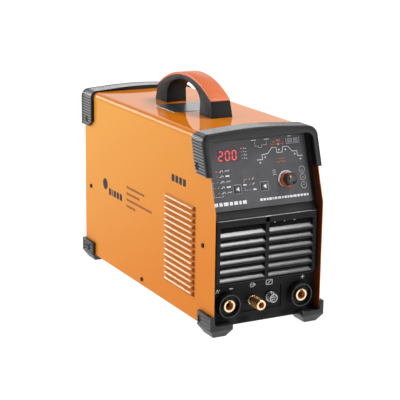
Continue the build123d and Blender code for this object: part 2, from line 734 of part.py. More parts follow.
with BuildPart() as foot_front_right:
    add(front_foot)
save(foot_front_right, "foot_front_right")

with BuildPart() as foot_front_left:
    mirror(front_foot, about=Plane.YZ)
save(foot_front_left, "foot_front_left")

with BuildPart() as foot_rear_right:
    mirror(rear_foot, about=Plane.XZ)
save(foot_rear_right, "foot_rear_right")

with BuildPart() as foot_rear_left:
    mirror(mirror(rear_foot, about=Plane.XZ, mode=Mode.PRIVATE), about=Plane.YZ)
save(foot_rear_left, "foot_rear_left")

# ---------------------------------------------------------------- side screws


def side_screw(length):
    """Pan head screw with a cross recess, head up, its seat at z = 0."""
    with BuildPart() as screw:
        with BuildSketch():
            Circle(SCREW_HEAD_R)
        extrude(amount=SCREW_HEAD_T)
        fillet(screw.edges().filter_by(GeomType.CIRCLE).group_by(Axis.Z)[-1], 0.9)
        with BuildSketch():
            Circle(SCREW_R)
        extrude(amount=-length)
        with BuildSketch(Plane.XY.offset(SCREW_HEAD_T)):
            Rectangle(3.6, 0.8)
            Rectangle(0.8, 3.6)
        extrude(amount=-1.2, mode=Mode.SUBTRACT)
    return screw.part


long_screw = side_screw(7.0)
short_screw = side_screw(4.0)
SCREW_SEATS = [(CASE_W / 2, COVER_SCREWS, long_screw), (GUARD_X - COUNTERBORE_D, BUMPER_SCREWS, short_screw),
               (GUARD_X - COUNTERBORE_D, FOOT_SCREWS, long_screw)]

with BuildPart() as case_screws:
    for seat_x, places, screw in SCREW_SEATS:
        for y, z in places:
            for side in (-1, 1):
                with Locations(Plane(origin=(side * seat_x, y, z), x_dir=(0, 1, 0), z_dir=(side, 0, 0))):
                    add(screw)
save(case_screws, "case_screws")

# ---------------------------------------------------------------- handle
HANDLE_HALF = 98.5
LEG_HALF = 57.0
HANDLE_LEAN = 92.0
SPRING_Z = BASE_Z + 309.0
ARCH_Z = BASE_Z + 301.6
ARCH_H = 28.0
SEAM_CROWN = BASE_Z + 336.6
SEAM_HALF = 90.5
CAP_CROWN = BASE_Z + 341.0
CAP_HALF = 91.5
CAP_END_Z = BASE_Z + 311.5
BASE_HALF_W = 18.0
CROWN_HALF_W = 15.5


def handle_taper():
    """Front view of the handle, narrower at the crown than at its feet."""
    with BuildSketch(front_plane(REAR_Y)) as taper:
        with BuildLine():
            Polyline((-BASE_HALF_W, TOP_Z), (BASE_HALF_W, TOP_Z), (CROWN_HALF_W, CAP_CROWN + 2),
                     (-CROWN_HALF_W, CAP_CROWN + 2), close=True)
        make_face()
    return taper.sketch


with BuildPart() as handle_frame:
    with BuildSketch(Plane.YZ) as arch:
        with BuildLine():
            Polyline((HANDLE_Y - SEAM_HALF, SPRING_Z), (HANDLE_Y - HANDLE_LEAN, SPRING_Z),
                     (HANDLE_Y - HANDLE_HALF, TOP_Z), (HANDLE_Y + HANDLE_HALF, TOP_Z),
                     (HANDLE_Y + HANDLE_LEAN, SPRING_Z), (HANDLE_Y + SEAM_HALF, SPRING_Z))
            ThreePointArc((HANDLE_Y + SEAM_HALF, SPRING_Z), (HANDLE_Y, SEAM_CROWN),
                          (HANDLE_Y - SEAM_HALF, SPRING_Z))
        make_face()
        with Locations((HANDLE_Y, ARCH_Z)):
            Ellipse(LEG_HALF, ARCH_H, mode=Mode.SUBTRACT)
        with Locations((HANDLE_Y, ARCH_Z)):
            Rectangle(2 * LEG_HALF, 2 * (ARCH_Z - TOP_Z), mode=Mode.SUBTRACT, align=(Align.CENTER, Align.MAX))
    extrude(amount=BASE_HALF_W + 1, both=True)
    extrude(handle_taper(), amount=CASE_L, mode=Mode.INTERSECT)
    with BuildSketch(Plane.XY.offset(TOP_Z)):
        with Locations((0, HANDLE_Y)):
            with GridLocations(2 * HANDLE_SCREW_X, 2 * HANDLE_SCREW_SPAN, 2, 2):
                Circle(SCREW_R + 0.05)
    extrude(amount=12, mode=Mode.SUBTRACT)
save(handle_frame, "handle_frame")

with BuildPart() as handle_grip:
    with BuildSketch(Plane.YZ):
        with BuildLine():
            ThreePointArc((HANDLE_Y - SEAM_HALF, SPRING_Z), (HANDLE_Y, SEAM_CROWN),
                          (HANDLE_Y + SEAM_HALF, SPRING_Z))
            Polyline((HANDLE_Y + SEAM_HALF, SPRING_Z), (HANDLE_Y + HANDLE_LEAN, SPRING_Z),
                     (HANDLE_Y + CAP_HALF, CAP_END_Z))
            ThreePointArc((HANDLE_Y + CAP_HALF, CAP_END_Z), (HANDLE_Y, CAP_CROWN),
                          (HANDLE_Y - CAP_HALF, CAP_END_Z))
            Polyline((HANDLE_Y - CAP_HALF, CAP_END_Z), (HANDLE_Y - HANDLE_LEAN, SPRING_Z),
                     (HANDLE_Y - SEAM_HALF, SPRING_Z))
        make_face()
    extrude(amount=BASE_HALF_W + 1, both=True)
    extrude(handle_taper(), amount=CASE_L, mode=Mode.INTERSECT)
save(handle_grip, "handle_grip")

handle_screw = side_screw(12.0)

with BuildPart() as handle_screws:
    with Locations(Plane(origin=(0, HANDLE_Y, TOP_Z - SHEET), x_dir=(1, 0, 0), z_dir=(0, 0, -1))):
        with GridLocations(2 * HANDLE_SCREW_X, 2 * HANDLE_SCREW_SPAN, 2, 2):
            add(handle_screw)
save(handle_screws, "handle_screws")

LABEL_HALF_W = 47.0
LABEL_Y = (-16.0, 54.0)
LABEL_T = 0.4

with BuildPart() as top_label:
    with BuildSketch(Plane.XY.offset(TOP_Z)) as plate:
        with Locations((0, sum(LABEL_Y) / 2)):
            Rectangle(2 * LABEL_HALF_W, LABEL_Y[1] - LABEL_Y[0])
        fillet(plate.vertices(), 2)
    extrude(amount=LABEL_T)
save(top_label, "top_label")

# ---------------------------------------------------------------- current sockets
for pole, x in (("minus", -SOCKET_X), ("plus", SOCKET_X)):
    with BuildPart() as socket_housing:
        with BuildSketch(front_plane(FACE_Y)):
            with Locations((x, SOCKET_Z)):
                Circle(SOCKET_R)
        extrude(amount=SOCKET_PROUD)
        with BuildSketch(front_plane(FACE_Y)):
            with Locations((x, SOCKET_Z)):
                Circle(SOCKET_SHANK_R)
        extrude(amount=-15)
        with BuildSketch(front_plane(FACE_Y - SOCKET_PROUD)):
            with Locations((x, SOCKET_Z)):
                Circle(SOCKET_R - SOCKET_RIM)
        extrude(amount=-SOCKET_DISH, mode=Mode.SUBTRACT)
        with BuildSketch(front_plane(FACE_Y - SOCKET_PROUD)):
            with Locations((x, SOCKET_Z)):
                Circle(INSERT_R)
        extrude(amount=-40, mode=Mode.SUBTRACT)
    save(socket_housing, f"socket_housing_{pole}")

    with BuildPart() as socket_insert:
        with BuildSketch(front_plane(FACE_Y - SOCKET_PROUD + INSERT_SET_BACK)):
            with Locations((x, SOCKET_Z)):
                Circle(INSERT_R)
        extrude(amount=-INSERT_L)
        with BuildSketch(front_plane(FACE_Y - SOCKET_PROUD + INSERT_SET_BACK)):
            with Locations((x, SOCKET_Z)):
                Circle(INSERT_BORE_R)
            with Locations((x, SOCKET_Z + KEYWAY_H / 2)):
                Rectangle(KEYWAY_W, KEYWAY_H)
        extrude(amount=-INSERT_BORE_L, mode=Mode.SUBTRACT)
    save(socket_insert, f"socket_insert_{pole}")

# ---------------------------------------------------------------- gas outlet quick coupler
OUTLET_TIP_Y = FRONT_Y - 12.0
OUTLET_BORE_R = 4.7
OUTLET_TUBE_R = 6.0
OUTLET_RING_R = 7.8
OUTLET_RING_L = 6.0
SLEEVE_R = 8.4
SLEEVE_L = 14.0
SLEEVE_TRAVEL = 3.0
SLEEVE_Y = OUTLET_TIP_Y + OUTLET_RING_L + RUN
HEX_R = 7.9
HEX_T = 5.0
OUTLET_AXIS = (OUTLET_X, CONNECTOR_Z)
GRIP_GROOVES = 4
GRIP_PITCH = 2.6
GRIP_GROOVE_W = 1.1
GRIP_GROOVE_D = 0.6
OUTLET_BORE_L = 20.0
OUTLET_SHANK_L = 18.0
GAS_WAY_R = 2.5
GAS_WAY_L = 60.0

with BuildPart() as gas_outlet_body:
    with BuildSketch(front_plane(POCKET_Y)):
        with Locations(OUTLET_AXIS):
            RegularPolygon(HEX_R, 6)
    extrude(amount=HEX_T)
    with BuildSketch(front_plane(POCKET_Y)):
        with Locations(OUTLET_AXIS):
            Circle(OUTLET_TUBE_R)
    extrude(amount=POCKET_Y - OUTLET_TIP_Y)
    with BuildSketch(front_plane(OUTLET_TIP_Y)):
        with Locations(OUTLET_AXIS):
            Circle(OUTLET_RING_R)
    extrude(amount=-OUTLET_RING_L)
    with BuildSketch(front_plane(POCKET_Y)):
        with Locations(OUTLET_AXIS):
            Circle(OUTLET_SHANK_R)
    extrude(amount=-OUTLET_SHANK_L)
    with BuildSketch(front_plane(OUTLET_TIP_Y)):
        with Locations(OUTLET_AXIS):
            Circle(OUTLET_BORE_R)
    extrude(amount=-OUTLET_BORE_L, mode=Mode.SUBTRACT)
    with BuildSketch(front_plane(OUTLET_TIP_Y)):
        with Locations(OUTLET_AXIS):
            Circle(GAS_WAY_R)
    extrude(amount=-GAS_WAY_L, mode=Mode.SUBTRACT)
    mouth = gas_outlet_body.edges().filter_by(GeomType.CIRCLE).group_by(Axis.Y)[0]
    chamfer(mouth.sort_by(SortBy.RADIUS)[-1], 0.8)
save(gas_outlet_body, "gas_outlet_body")

with BuildPart() as gas_outlet_sleeve:
    with BuildSketch(front_plane(SLEEVE_Y)):
        with Locations(OUTLET_AXIS):
            Circle(SLEEVE_R)
            Circle(OUTLET_TUBE_R + RUN, mode=Mode.SUBTRACT)
    extrude(amount=-SLEEVE_L)
    for groove in range(GRIP_GROOVES):
        with BuildSketch(front_plane(SLEEVE_Y + 2.4 + groove * GRIP_PITCH)):
            with Locations(OUTLET_AXIS):
                Circle(SLEEVE_R + 1)
                Circle(SLEEVE_R - GRIP_GROOVE_D, mode=Mode.SUBTRACT)
        extrude(amount=-GRIP_GROOVE_W, mode=Mode.SUBTRACT)
save(gas_outlet_sleeve, "gas_outlet_sleeve")

FRONT_NUT_Y = FACE_Y + WALL + FIT
SOCKET_NUT_R = 20.0
CONNECTOR_NUT_R = 10.5

with BuildPart() as front_locknuts:
    with BuildSketch(front_plane(FRONT_NUT_Y)):
        with Locations((-SOCKET_X, SOCKET_Z), (SOCKET_X, SOCKET_Z)):
            RegularPolygon(SOCKET_NUT_R, 6)
            Circle(SOCKET_SHANK_R, mode=Mode.SUBTRACT)
        with Locations(OUTLET_AXIS, (TORCH_X, CONNECTOR_Z)):
            RegularPolygon(CONNECTOR_NUT_R, 6)
        with Locations(OUTLET_AXIS):
            Circle(OUTLET_SHANK_R, mode=Mode.SUBTRACT)
        with Locations((TORCH_X, CONNECTOR_Z)):
            Circle(TORCH_SHANK_R, mode=Mode.SUBTRACT)
    extrude(amount=-FRONT_NUT_T)
save(front_locknuts, "front_locknuts")

# ---------------------------------------------------------------- torch control connector
TORCH_FLANGE_R = 8.3
TORCH_BARREL_R = 7.0
TORCH_PROUD = 12.0
TORCH_CORE_R = 5.2
TORCH_PIN_R = 0.6
TORCH_PINS = 5
TORCH_PIN_RING = 3.0
TORCH_FLANGE_T = 3.0
TORCH_SHANK_L = 14.0

with BuildPart() as torch_connector_shell:
    with BuildSketch(front_plane(POCKET_Y)):
        with Locations((TORCH_X, CONNECTOR_Z)):
            Circle(TORCH_FLANGE_R)
    extrude(amount=TORCH_FLANGE_T)
    with BuildSketch(front_plane(POCKET_Y)):
        with Locations((TORCH_X, CONNECTOR_Z)):
            Circle(TORCH_BARREL_R)
    extrude(amount=TORCH_PROUD)
    with BuildSketch(front_plane(POCKET_Y)):
        with Locations((TORCH_X, CONNECTOR_Z)):
            Circle(TORCH_SHANK_R)
    extrude(amount=-TORCH_SHANK_L)
    with BuildSketch(front_plane(POCKET_Y - TORCH_PROUD)):
        with Locations((TORCH_X, CONNECTOR_Z)):
            Circle(TORCH_CORE_R)
    extrude(amount=-60, mode=Mode.SUBTRACT)
    for start in (5.0, 7.4):
        with BuildSketch(front_plane(POCKET_Y - start)):
            with Locations((TORCH_X, CONNECTOR_Z)):
                Circle(TORCH_BARREL_R + 1)
                Circle(TORCH_BARREL_R - 0.5, mode=Mode.SUBTRACT)
        extrude(amount=1.2, mode=Mode.SUBTRACT)
save(torch_connector_shell, "torch_connector_shell")

with BuildPart() as torch_connector_insert:
    with BuildSketch(front_plane(POCKET_Y - TORCH_PROUD + 4)):
        with Locations((TORCH_X, CONNECTOR_Z)):
            Circle(TORCH_CORE_R)
            with PolarLocations(TORCH_PIN_RING, TORCH_PINS, start_angle=18):
                Circle(TORCH_PIN_R, mode=Mode.SUBTRACT)
    extrude(amount=-18)
save(torch_connector_insert, "torch_connector_insert")

with BuildPart() as torch_connector_pins:
    with BuildSketch(front_plane(POCKET_Y - TORCH_PROUD + 1)):
        with Locations((TORCH_X, CONNECTOR_Z)):
            with PolarLocations(TORCH_PIN_RING, TORCH_PINS, start_angle=18):
                Circle(TORCH_PIN_R)
    extrude(amount=-25)
save(torch_connector_pins, "torch_connector_pins")

# ---------------------------------------------------------------- rear panel and fan
FAN_Z = BASE_Z + 120.0
FAN_SIZE = 119.0
FAN_D = 25.0
FAN_HOLE_R = 56.0
FAN_SCREW_SPACING = 105.0
SWITCH_X = -45.0
SWITCH_Z = BASE_Z + 228.0
SWITCH_W = 26.0
SWITCH_H = 30.0
GLAND_X = 45.0
GLAND_Z = BASE_Z + 228.0
GLAND_R = 8.0
BARB_X = 55.0
BARB_Z = BASE_Z + 30.0
BARB_SHANK_R = 5.0
STUD_X = -55.0
STUD_Z = BASE_Z + 30.0
STUD_R = 3.0
BACK_INNER_Y = BACK_Y - WALL

with BuildPart() as rear_panel:
    extrude(
        case_outline(2 * PANEL_X, TOP_Z - SHEET - 2 * FIT, FOLD_R - SHEET, front_plane(BACK_Y)),
        amount=WALL,
    )
    extrude(side_flanges(BACK_INNER_Y - FLANGE_D), amount=FLANGE_H)
    with BuildSketch(front_plane(BACK_Y)):
        with Locations((0, FAN_Z)):
            Circle(FAN_HOLE_R)
            with GridLocations(FAN_SCREW_SPACING, FAN_SCREW_SPACING, 2, 2):
                Circle(SCREW_HOLE_R)
        with Locations((SWITCH_X, SWITCH_Z)):
            Rectangle(SWITCH_W + 2 * FIT, SWITCH_H + 2 * FIT)
        with Locations((GLAND_X, GLAND_Z)):
            Circle(GLAND_R + FIT)
        with Locations((BARB_X, BARB_Z)):
            Circle(BARB_SHANK_R + FIT)
        with Locations((STUD_X, STUD_Z)):
            Circle(STUD_R + FIT)
    extrude(amount=WALL, mode=Mode.SUBTRACT)
    with BuildSketch(Plane.YZ):
        with Locations(COVER_SCREWS[1]):
            Circle(SCREW_HOLE_R)
    extrude(amount=CASE_W, both=True, mode=Mode.SUBTRACT)
save(rear_panel, "rear_panel")

FAN_HUB_R = 21.0
FAN_PIN_R = 2.5
FAN_BACK_Y = BACK_INNER_Y - FIT
FAN_FRONT_Y = FAN_BACK_Y - FAN_D
STRUT_T = 4.0

with BuildPart() as fan_frame:
    with BuildSketch(front_plane(FAN_FRONT_Y)) as square:
        with Locations((0, FAN_Z)):
            Rectangle(FAN_SIZE, FAN_SIZE)
        fillet(square.vertices(), 6)
        with Locations((0, FAN_Z)):
            Circle(FAN_HOLE_R + 1, mode=Mode.SUBTRACT)
            with GridLocations(FAN_SCREW_SPACING, FAN_SCREW_SPACING, 2, 2):
                Circle(SCREW_HOLE_R, mode=Mode.SUBTRACT)
    extrude(amount=-FAN_D)
    with BuildSketch(front_plane(FAN_FRONT_Y)):
        with Locations((0, FAN_Z)):
            Circle(FAN_HUB_R)
            with PolarLocations(0, 4, start_angle=45):
                Rectangle(FAN_HOLE_R + 2, 5, align=(Align.MIN, Align.CENTER))
    extrude(amount=-STRUT_T)
    with BuildSketch(front_plane(FAN_FRONT_Y)):
        with Locations((0, FAN_Z)):
            Circle(FAN_PIN_R)
    extrude(amount=-18)
save(fan_frame, "fan_frame")

BLADES = 7
BLADE_TIP_R = 54.0
ROTOR_Y = FAN_FRONT_Y + STRUT_T + 1.0
ROTOR_L = 17.0


def fan_blade(turn):
    """One twisted blade, lofted from a steep root to a flatter tip."""
    sections = []
    for radius, lean in ((FAN_HUB_R - 1, 52), (BLADE_TIP_R, 68)):
        face = Plane(origin=(radius, ROTOR_Y + ROTOR_L / 2, FAN_Z), x_dir=(0, 1, 0), z_dir=(1, 0, 0))
        width = (ROTOR_L - 3) / cos(radians(lean)) * 0.62
        sections.append(face * Rot(0, 0, lean) * Rectangle(width, 1.6))
    blade = loft(sections)
    return blade.rotate(Axis((0, 0, FAN_Z), (0, 1, 0)), turn)


blades = [fan_blade(blade * 360 / BLADES) for blade in range(BLADES)]

with BuildPart() as fan_rotor:
    with BuildSketch(front_plane(ROTOR_Y)):
        with Locations((0, FAN_Z)):
            Circle(FAN_HUB_R)
    extrude(amount=-ROTOR_L)
    for blade in blades:
        add(blade)
    with BuildSketch(front_plane(ROTOR_Y)):
        with Locations((0, FAN_Z)):
            Circle(FAN_PIN_R + 0.05)
    extrude(amount=-14, mode=Mode.SUBTRACT)
save(fan_rotor, "fan_rotor")

GUARD_T = 2.0
RING_W = 1.8
GUARD_RINGS = (16, 26, 36, 46, 56)
SPOKE_START = 15.0
SPOKE_L = 58.0
SPOKE_W = 2.2
GUARD_EAR_R = 5.0

with BuildPart() as fan_guard:
    with BuildSketch(front_plane(BACK_Y)):
        with Locations((0, FAN_Z)):
            for radius in GUARD_RINGS:
                Circle(radius + RING_W / 2)
                Circle(radius - RING_W / 2, mode=Mode.SUBTRACT)
            with PolarLocations(0, 4, start_angle=45):
                with Locations((SPOKE_START, 0)):
                    Rectangle(SPOKE_L, SPOKE_W, align=(Align.MIN, Align.CENTER))
            with GridLocations(FAN_SCREW_SPACING, FAN_SCREW_SPACING, 2, 2):
                Circle(GUARD_EAR_R)
                Circle(SCREW_HOLE_R, mode=Mode.SUBTRACT)
    extrude(amount=-GUARD_T)
save(fan_guard, "fan_guard")

fan_screw = side_screw(26.0)

with BuildPart() as fan_screws:
    with Locations(Plane(origin=(0, BACK_Y + GUARD_T, FAN_Z), x_dir=(1, 0, 0), z_dir=(0, 1, 0))):
        with GridLocations(FAN_SCREW_SPACING, FAN_SCREW_SPACING, 2, 2):
            add(fan_screw)
save(fan_screws, "fan_screws")

# ---------------------------------------------------------------- mains switch
SWITCH_FLANGE = 2.0
ROCKER_W = 19.0
ROCKER_HALF = 11.0
ROCKER_TILT = 12.0
PIVOT_Y = BACK_Y - 4.0
TRUNNION_R = 1.2

with BuildPart() as power_switch_housing:
    with BuildSketch(front_plane(BACK_Y)):
        with Locations((SWITCH_X, SWITCH_Z)):
            Rectangle(SWITCH_W + 4, SWITCH_H + 4)
    extrude(amount=-SWITCH_FLANGE)
    with BuildSketch(front_plane(BACK_Y)):
        with Locations((SWITCH_X, SWITCH_Z)):
            Rectangle(SWITCH_W, SWITCH_H)
    extrude(amount=24)
    with BuildSketch(front_plane(BACK_Y + SWITCH_FLANGE)):
        with Locations((SWITCH_X, SWITCH_Z)):
            Rectangle(ROCKER_W + 2 * RUN, 2 * ROCKER_HALF + 2.4)
    extrude(amount=18, mode=Mode.SUBTRACT)
    with BuildSketch(Plane.YZ.offset(SWITCH_X)):
        with Locations((PIVOT_Y, SWITCH_Z)):
            Circle(TRUNNION_R + 0.08)
    extrude(amount=ROCKER_W / 2 + 1.8, both=True, mode=Mode.SUBTRACT)
save(power_switch_housing, "power_switch_housing")

with BuildPart() as power_rocker:
    with BuildSketch(Plane.YZ.offset(SWITCH_X)):
        with BuildLine():
            Polyline((PIVOT_Y + 1, SWITCH_Z - ROCKER_HALF), (PIVOT_Y + 6.5, SWITCH_Z - ROCKER_HALF),
                     (PIVOT_Y + 4, SWITCH_Z), (PIVOT_Y + 6.5, SWITCH_Z + ROCKER_HALF),
                     (PIVOT_Y + 1, SWITCH_Z + ROCKER_HALF))
            ThreePointArc((PIVOT_Y + 1, SWITCH_Z + ROCKER_HALF), (PIVOT_Y - 8, SWITCH_Z),
                          (PIVOT_Y + 1, SWITCH_Z - ROCKER_HALF))
        make_face()
    extrude(amount=ROCKER_W / 2, both=True)
    with BuildSketch(Plane.YZ.offset(SWITCH_X)):
        with Locations((PIVOT_Y, SWITCH_Z)):
            Circle(TRUNNION_R)
    extrude(amount=ROCKER_W / 2 + 1.5, both=True)
power_rocker.part = power_rocker.part.rotate(Axis((SWITCH_X, PIVOT_Y, SWITCH_Z), (1, 0, 0)), -ROCKER_TILT)
save(power_rocker, "power_rocker")

# ---------------------------------------------------------------- inlets at the rear
BARB_TIP_Y = REAR_Y + 12.0
BARB_HEX_R = 8.5
GLAND_HEX_R = 13.0
GLAND_HEX_T = 6.0
GLAND_DOME_R = 10.5
GLAND_BORE_R = 5.0
STUD_HEX_R = 6.0
REAR_NUT_T = 5.0

with BuildPart() as cable_gland:
    with BuildSketch(front_plane(BACK_Y)):
        with Locations((GLAND_X, GLAND_Z)):
            RegularPolygon(GLAND_HEX_R, 6)
    extrude(amount=-GLAND_HEX_T)
    with BuildSketch(front_plane(BACK_Y + GLAND_HEX_T)):
        with Locations((GLAND_X, GLAND_Z)):
            Circle(GLAND_DOME_R)
    extrude(amount=-12, taper=12)
    with BuildSketch(front_plane(BACK_Y)):
        with Locations((GLAND_X, GLAND_Z)):
            Circle(GLAND_R)
    extrude(amount=14)
    with BuildSketch(front_plane(BACK_Y - 14)):
        with Locations((GLAND_X, GLAND_Z)):
            Circle(GLAND_BORE_R)
    extrude(amount=-60, mode=Mode.SUBTRACT)
save(cable_gland, "cable_gland")

with BuildPart() as gas_inlet_barb:
    with BuildSketch(Plane(origin=(BARB_X, 0, BARB_Z), x_dir=(0, 1, 0), z_dir=(0, 0, 1))):
        with BuildLine():
            Polyline((BACK_Y - 14, 2.2), (BARB_TIP_Y, 2.2), (BARB_TIP_Y, 3.4), (BARB_TIP_Y - 6, 4.6),
                     (BARB_TIP_Y - 6, 3.8), (BARB_TIP_Y - 12, 4.6), (BARB_TIP_Y - 12, 3.8),
                     (BARB_TIP_Y - 19, 3.8), (BACK_Y + 6, BARB_SHANK_R), (BACK_Y, BARB_SHANK_R),
                     (BACK_Y - 14, BARB_SHANK_R), close=True)
        make_face()
    revolve(axis=Axis((BARB_X, 0, BARB_Z), (0, 1, 0)))
    with BuildSketch(front_plane(BACK_Y)):
        with Locations((BARB_X, BARB_Z)):
            RegularPolygon(BARB_HEX_R, 6)
            Circle(BARB_SHANK_R - 0.5, mode=Mode.SUBTRACT)
    extrude(amount=-5)
save(gas_inlet_barb, "gas_inlet_barb")

with BuildPart() as inlet_nuts:
    with BuildSketch(front_plane(BACK_INNER_Y - FIT)):
        with Locations((BARB_X, BARB_Z)):
            RegularPolygon(BARB_HEX_R, 6)
            Circle(BARB_SHANK_R, mode=Mode.SUBTRACT)
        with Locations((GLAND_X, GLAND_Z)):
            RegularPolygon(GLAND_HEX_R, 6)
            Circle(GLAND_R, mode=Mode.SUBTRACT)
        with Locations((STUD_X, STUD_Z)):
            RegularPolygon(STUD_HEX_R, 6)
            Circle(STUD_R, mode=Mode.SUBTRACT)
    extrude(amount=REAR_NUT_T)
save(inlet_nuts, "inlet_nuts")

with BuildPart() as earth_stud:
    with BuildSketch(front_plane(BACK_Y - 10)):
        with Locations((STUD_X, STUD_Z)):
            Circle(STUD_R)
    extrude(amount=-24)
    with BuildSketch(front_plane(BACK_Y)):
        with Locations((STUD_X, STUD_Z)):
            RegularPolygon(STUD_HEX_R, 6)
    extrude(amount=-5)
save(earth_stud, "earth_stud")

# ---------------------------------------------------------------- inside: power stage
FLOOR_Z = BASE_Z + SHEET
SINK_Y = (-60.0, 120.0)
SINK_X = -38.0
SINK_W = 60.0
SINK_H = 90.0
SINK_FOOT = 6.0
SINK_BASE_T = 8.0
FIN_COUNT = 10
FIN_PITCH = 6.4
FIN_T = 1.8

with BuildPart() as heatsink:
    with BuildSketch(front_plane(SINK_Y[0])):
        with Locations((SINK_X, FLOOR_Z + SINK_FOOT + SINK_H - SINK_BASE_T / 2)):
            Rectangle(SINK_W, SINK_BASE_T)
        with Locations((SINK_X, FLOOR_Z + SINK_FOOT + SINK_H / 2)):
            with GridLocations(FIN_PITCH, 1, FIN_COUNT, 1):
                Rectangle(FIN_T, SINK_H)
    extrude(amount=-(SINK_Y[1] - SINK_Y[0]))
    with BuildSketch(Plane.XY.offset(FLOOR_Z)):
        with Locations((SINK_X, sum(SINK_Y) / 2)):
            with GridLocations(SINK_W - 10, SINK_Y[1] - SINK_Y[0] - 20, 2, 2):
                Rectangle(8, 8)
    extrude(amount=SINK_FOOT + 1)
save(heatsink, "heatsink")

SINK_TOP = FLOOR_Z + SINK_FOOT + SINK_H
MODULE_W = 34.0
MODULE_L = 48.0
MODULE_T = 15.0
MODULE_PITCH = 58.0
MAIN_BOARD_W = 156.0
MAIN_BOARD_L = 230.0
MAIN_BOARD_Y = 30.0
MAIN_BOARD_T = 2.0
MAIN_BOARD_TOP = SINK_TOP + MODULE_T + MAIN_BOARD_T
CAPACITOR_R = 17.5
CAPACITOR_H = 52.0

with BuildPart() as power_modules:
    with BuildSketch(Plane.XY.offset(SINK_TOP)):
        with Locations((SINK_X, sum(SINK_Y) / 2)):
            with GridLocations(1, MODULE_PITCH, 1, 3):
                Rectangle(MODULE_W, MODULE_L)
    extrude(amount=MODULE_T)
save(power_modules, "power_modules")

with BuildPart() as inverter_board:
    with BuildSketch(Plane.XY.offset(SINK_TOP + MODULE_T)):
        with Locations((0, MAIN_BOARD_Y)):
            Rectangle(MAIN_BOARD_W, MAIN_BOARD_L)
    extrude(amount=MAIN_BOARD_T)
    with BuildSketch(Plane.XY.offset(MAIN_BOARD_TOP)):
        with Locations((50, 60), (50, 100), (-50, 110), (20, -50)):
            Rectangle(18, 26)
    extrude(amount=14)
save(inverter_board, "inverter_board")

with BuildPart() as bus_capacitors:
    with BuildSketch(Plane.XY.offset(MAIN_BOARD_TOP)):
        with Locations((-20, MAIN_BOARD_Y)):
            with GridLocations(38, 40, 2, 3):
                Circle(CAPACITOR_R)
    extrude(amount=CAPACITOR_H)
    fillet(bus_capacitors.edges().filter_by(GeomType.CIRCLE).group_by(Axis.Z)[-1], 1.5)
save(bus_capacitors, "bus_capacitors")

CORE_Y = -10.0
CORE_X = 45.0
CORE_Z = FLOOR_Z + 38.0
CORE_SIZE = 66.0
CORE_T = 44.0
CORE_WINDOW_W = 15.0
CORE_WINDOW_H = 42.0
WINDING_H = 40.0
CHOKE_R = 34.0
CHOKE_BORE_R = 13.0

with BuildPart() as transformer_core:
    with BuildSketch(front_plane(CORE_Y)):
        with Locations((CORE_X, CORE_Z)):
            Rectangle(CORE_SIZE, CORE_SIZE)
            with Locations((-14.5, 0), (14.5, 0)):
                Rectangle(CORE_WINDOW_W, CORE_WINDOW_H, mode=Mode.SUBTRACT)
    extrude(amount=-CORE_T)
    with BuildSketch(Plane.XY.offset(FLOOR_Z)):
        with Locations((CORE_X, CORE_Y + CORE_T / 2)):
            Rectangle(60, 30)
    extrude(amount=6)
save(transformer_core, "transformer_core")

with BuildPart() as transformer_windings:
    with BuildSketch(Plane.XY.offset(CORE_Z - WINDING_H / 2)):
        with Locations((CORE_X, CORE_Y + CORE_T / 2)):
            RectangleRounded(42, 68, 6)
            Rectangle(14.4, 44.4, mode=Mode.SUBTRACT)
    extrude(amount=WINDING_H)
save(transformer_windings, "transformer_windings")

CHOKE_Y = 105.0

with BuildPart() as output_choke:
    with BuildSketch(front_plane(CHOKE_Y)):
        with Locations((CORE_X, FLOOR_Z + CHOKE_R)):
            Circle(CHOKE_R)
            Circle(CHOKE_BORE_R, mode=Mode.SUBTRACT)
    extrude(amount=-CHOKE_R)
    fillet(output_choke.edges().filter_by(GeomType.CIRCLE), 5)
save(output_choke, "output_choke")

HF_Y = -120.0

with BuildPart() as hf_coil:
    with BuildSketch(front_plane(HF_Y)):
        with Locations((CORE_X, FLOOR_Z + 45)):
            Circle(26)
            Circle(15, mode=Mode.SUBTRACT)
    extrude(amount=-50)
    with BuildSketch(Plane.XY.offset(FLOOR_Z)):
        with Locations((CORE_X, HF_Y + 25)):
            Rectangle(30, 40)
    extrude(amount=21)
save(hf_coil, "hf_coil")

# ---------------------------------------------------------------- inside: gas line and busbars
VALVE_Y = 156.0

with BuildPart() as gas_valve:
    with BuildSketch(Plane.XY.offset(FLOOR_Z)):
        with Locations((BARB_X, VALVE_Y)):
            Rectangle(30, 26)
    extrude(amount=28)
    with BuildSketch(Plane.XY.offset(FLOOR_Z + 28)):
        with Locations((BARB_X, VALVE_Y)):
            Circle(5)
    extrude(amount=4)
    with BuildSketch(Plane.XY.offset(FLOOR_Z + 32)):
        with Locations((BARB_X, VALVE_Y)):
            RectangleRounded(28, 24, 4)
    extrude(amount=26)
save(gas_valve, "gas_valve")

with BuildPart() as gas_pipes:
    with BuildSketch(front_plane(VALVE_Y + 13)):
        with Locations((BARB_X, BARB_Z)):
            Circle(4)
            Circle(2.2, mode=Mode.SUBTRACT)
    extrude(amount=-(BACK_Y - 14 - VALVE_Y - 13))
save(gas_pipes, "gas_pipes")

BUSBAR_Y = FACE_Y - SOCKET_PROUD + INSERT_SET_BACK + INSERT_L

with BuildPart() as busbars:
    with BuildSketch(front_plane(BUSBAR_Y)):
        with Locations((-SOCKET_X, SOCKET_Z + 15), (SOCKET_X, SOCKET_Z + 15)):
            Rectangle(16, 50)
    extrude(amount=-4)
    with BuildSketch(Plane.XY.offset(SOCKET_Z + 36)):
        with Locations((-SOCKET_X, BUSBAR_Y)):
            Rectangle(16, 110, align=(Align.CENTER, Align.MIN))
        with Locations((SOCKET_X, BUSBAR_Y)):
            Rectangle(16, 60, align=(Align.CENTER, Align.MIN))
    extrude(amount=4)
save(busbars, "busbars")
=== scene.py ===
import bmesh
import bpy
import json
from math import cos, pi, radians, sin, sqrt, tan
from mathutils import Matrix, Vector

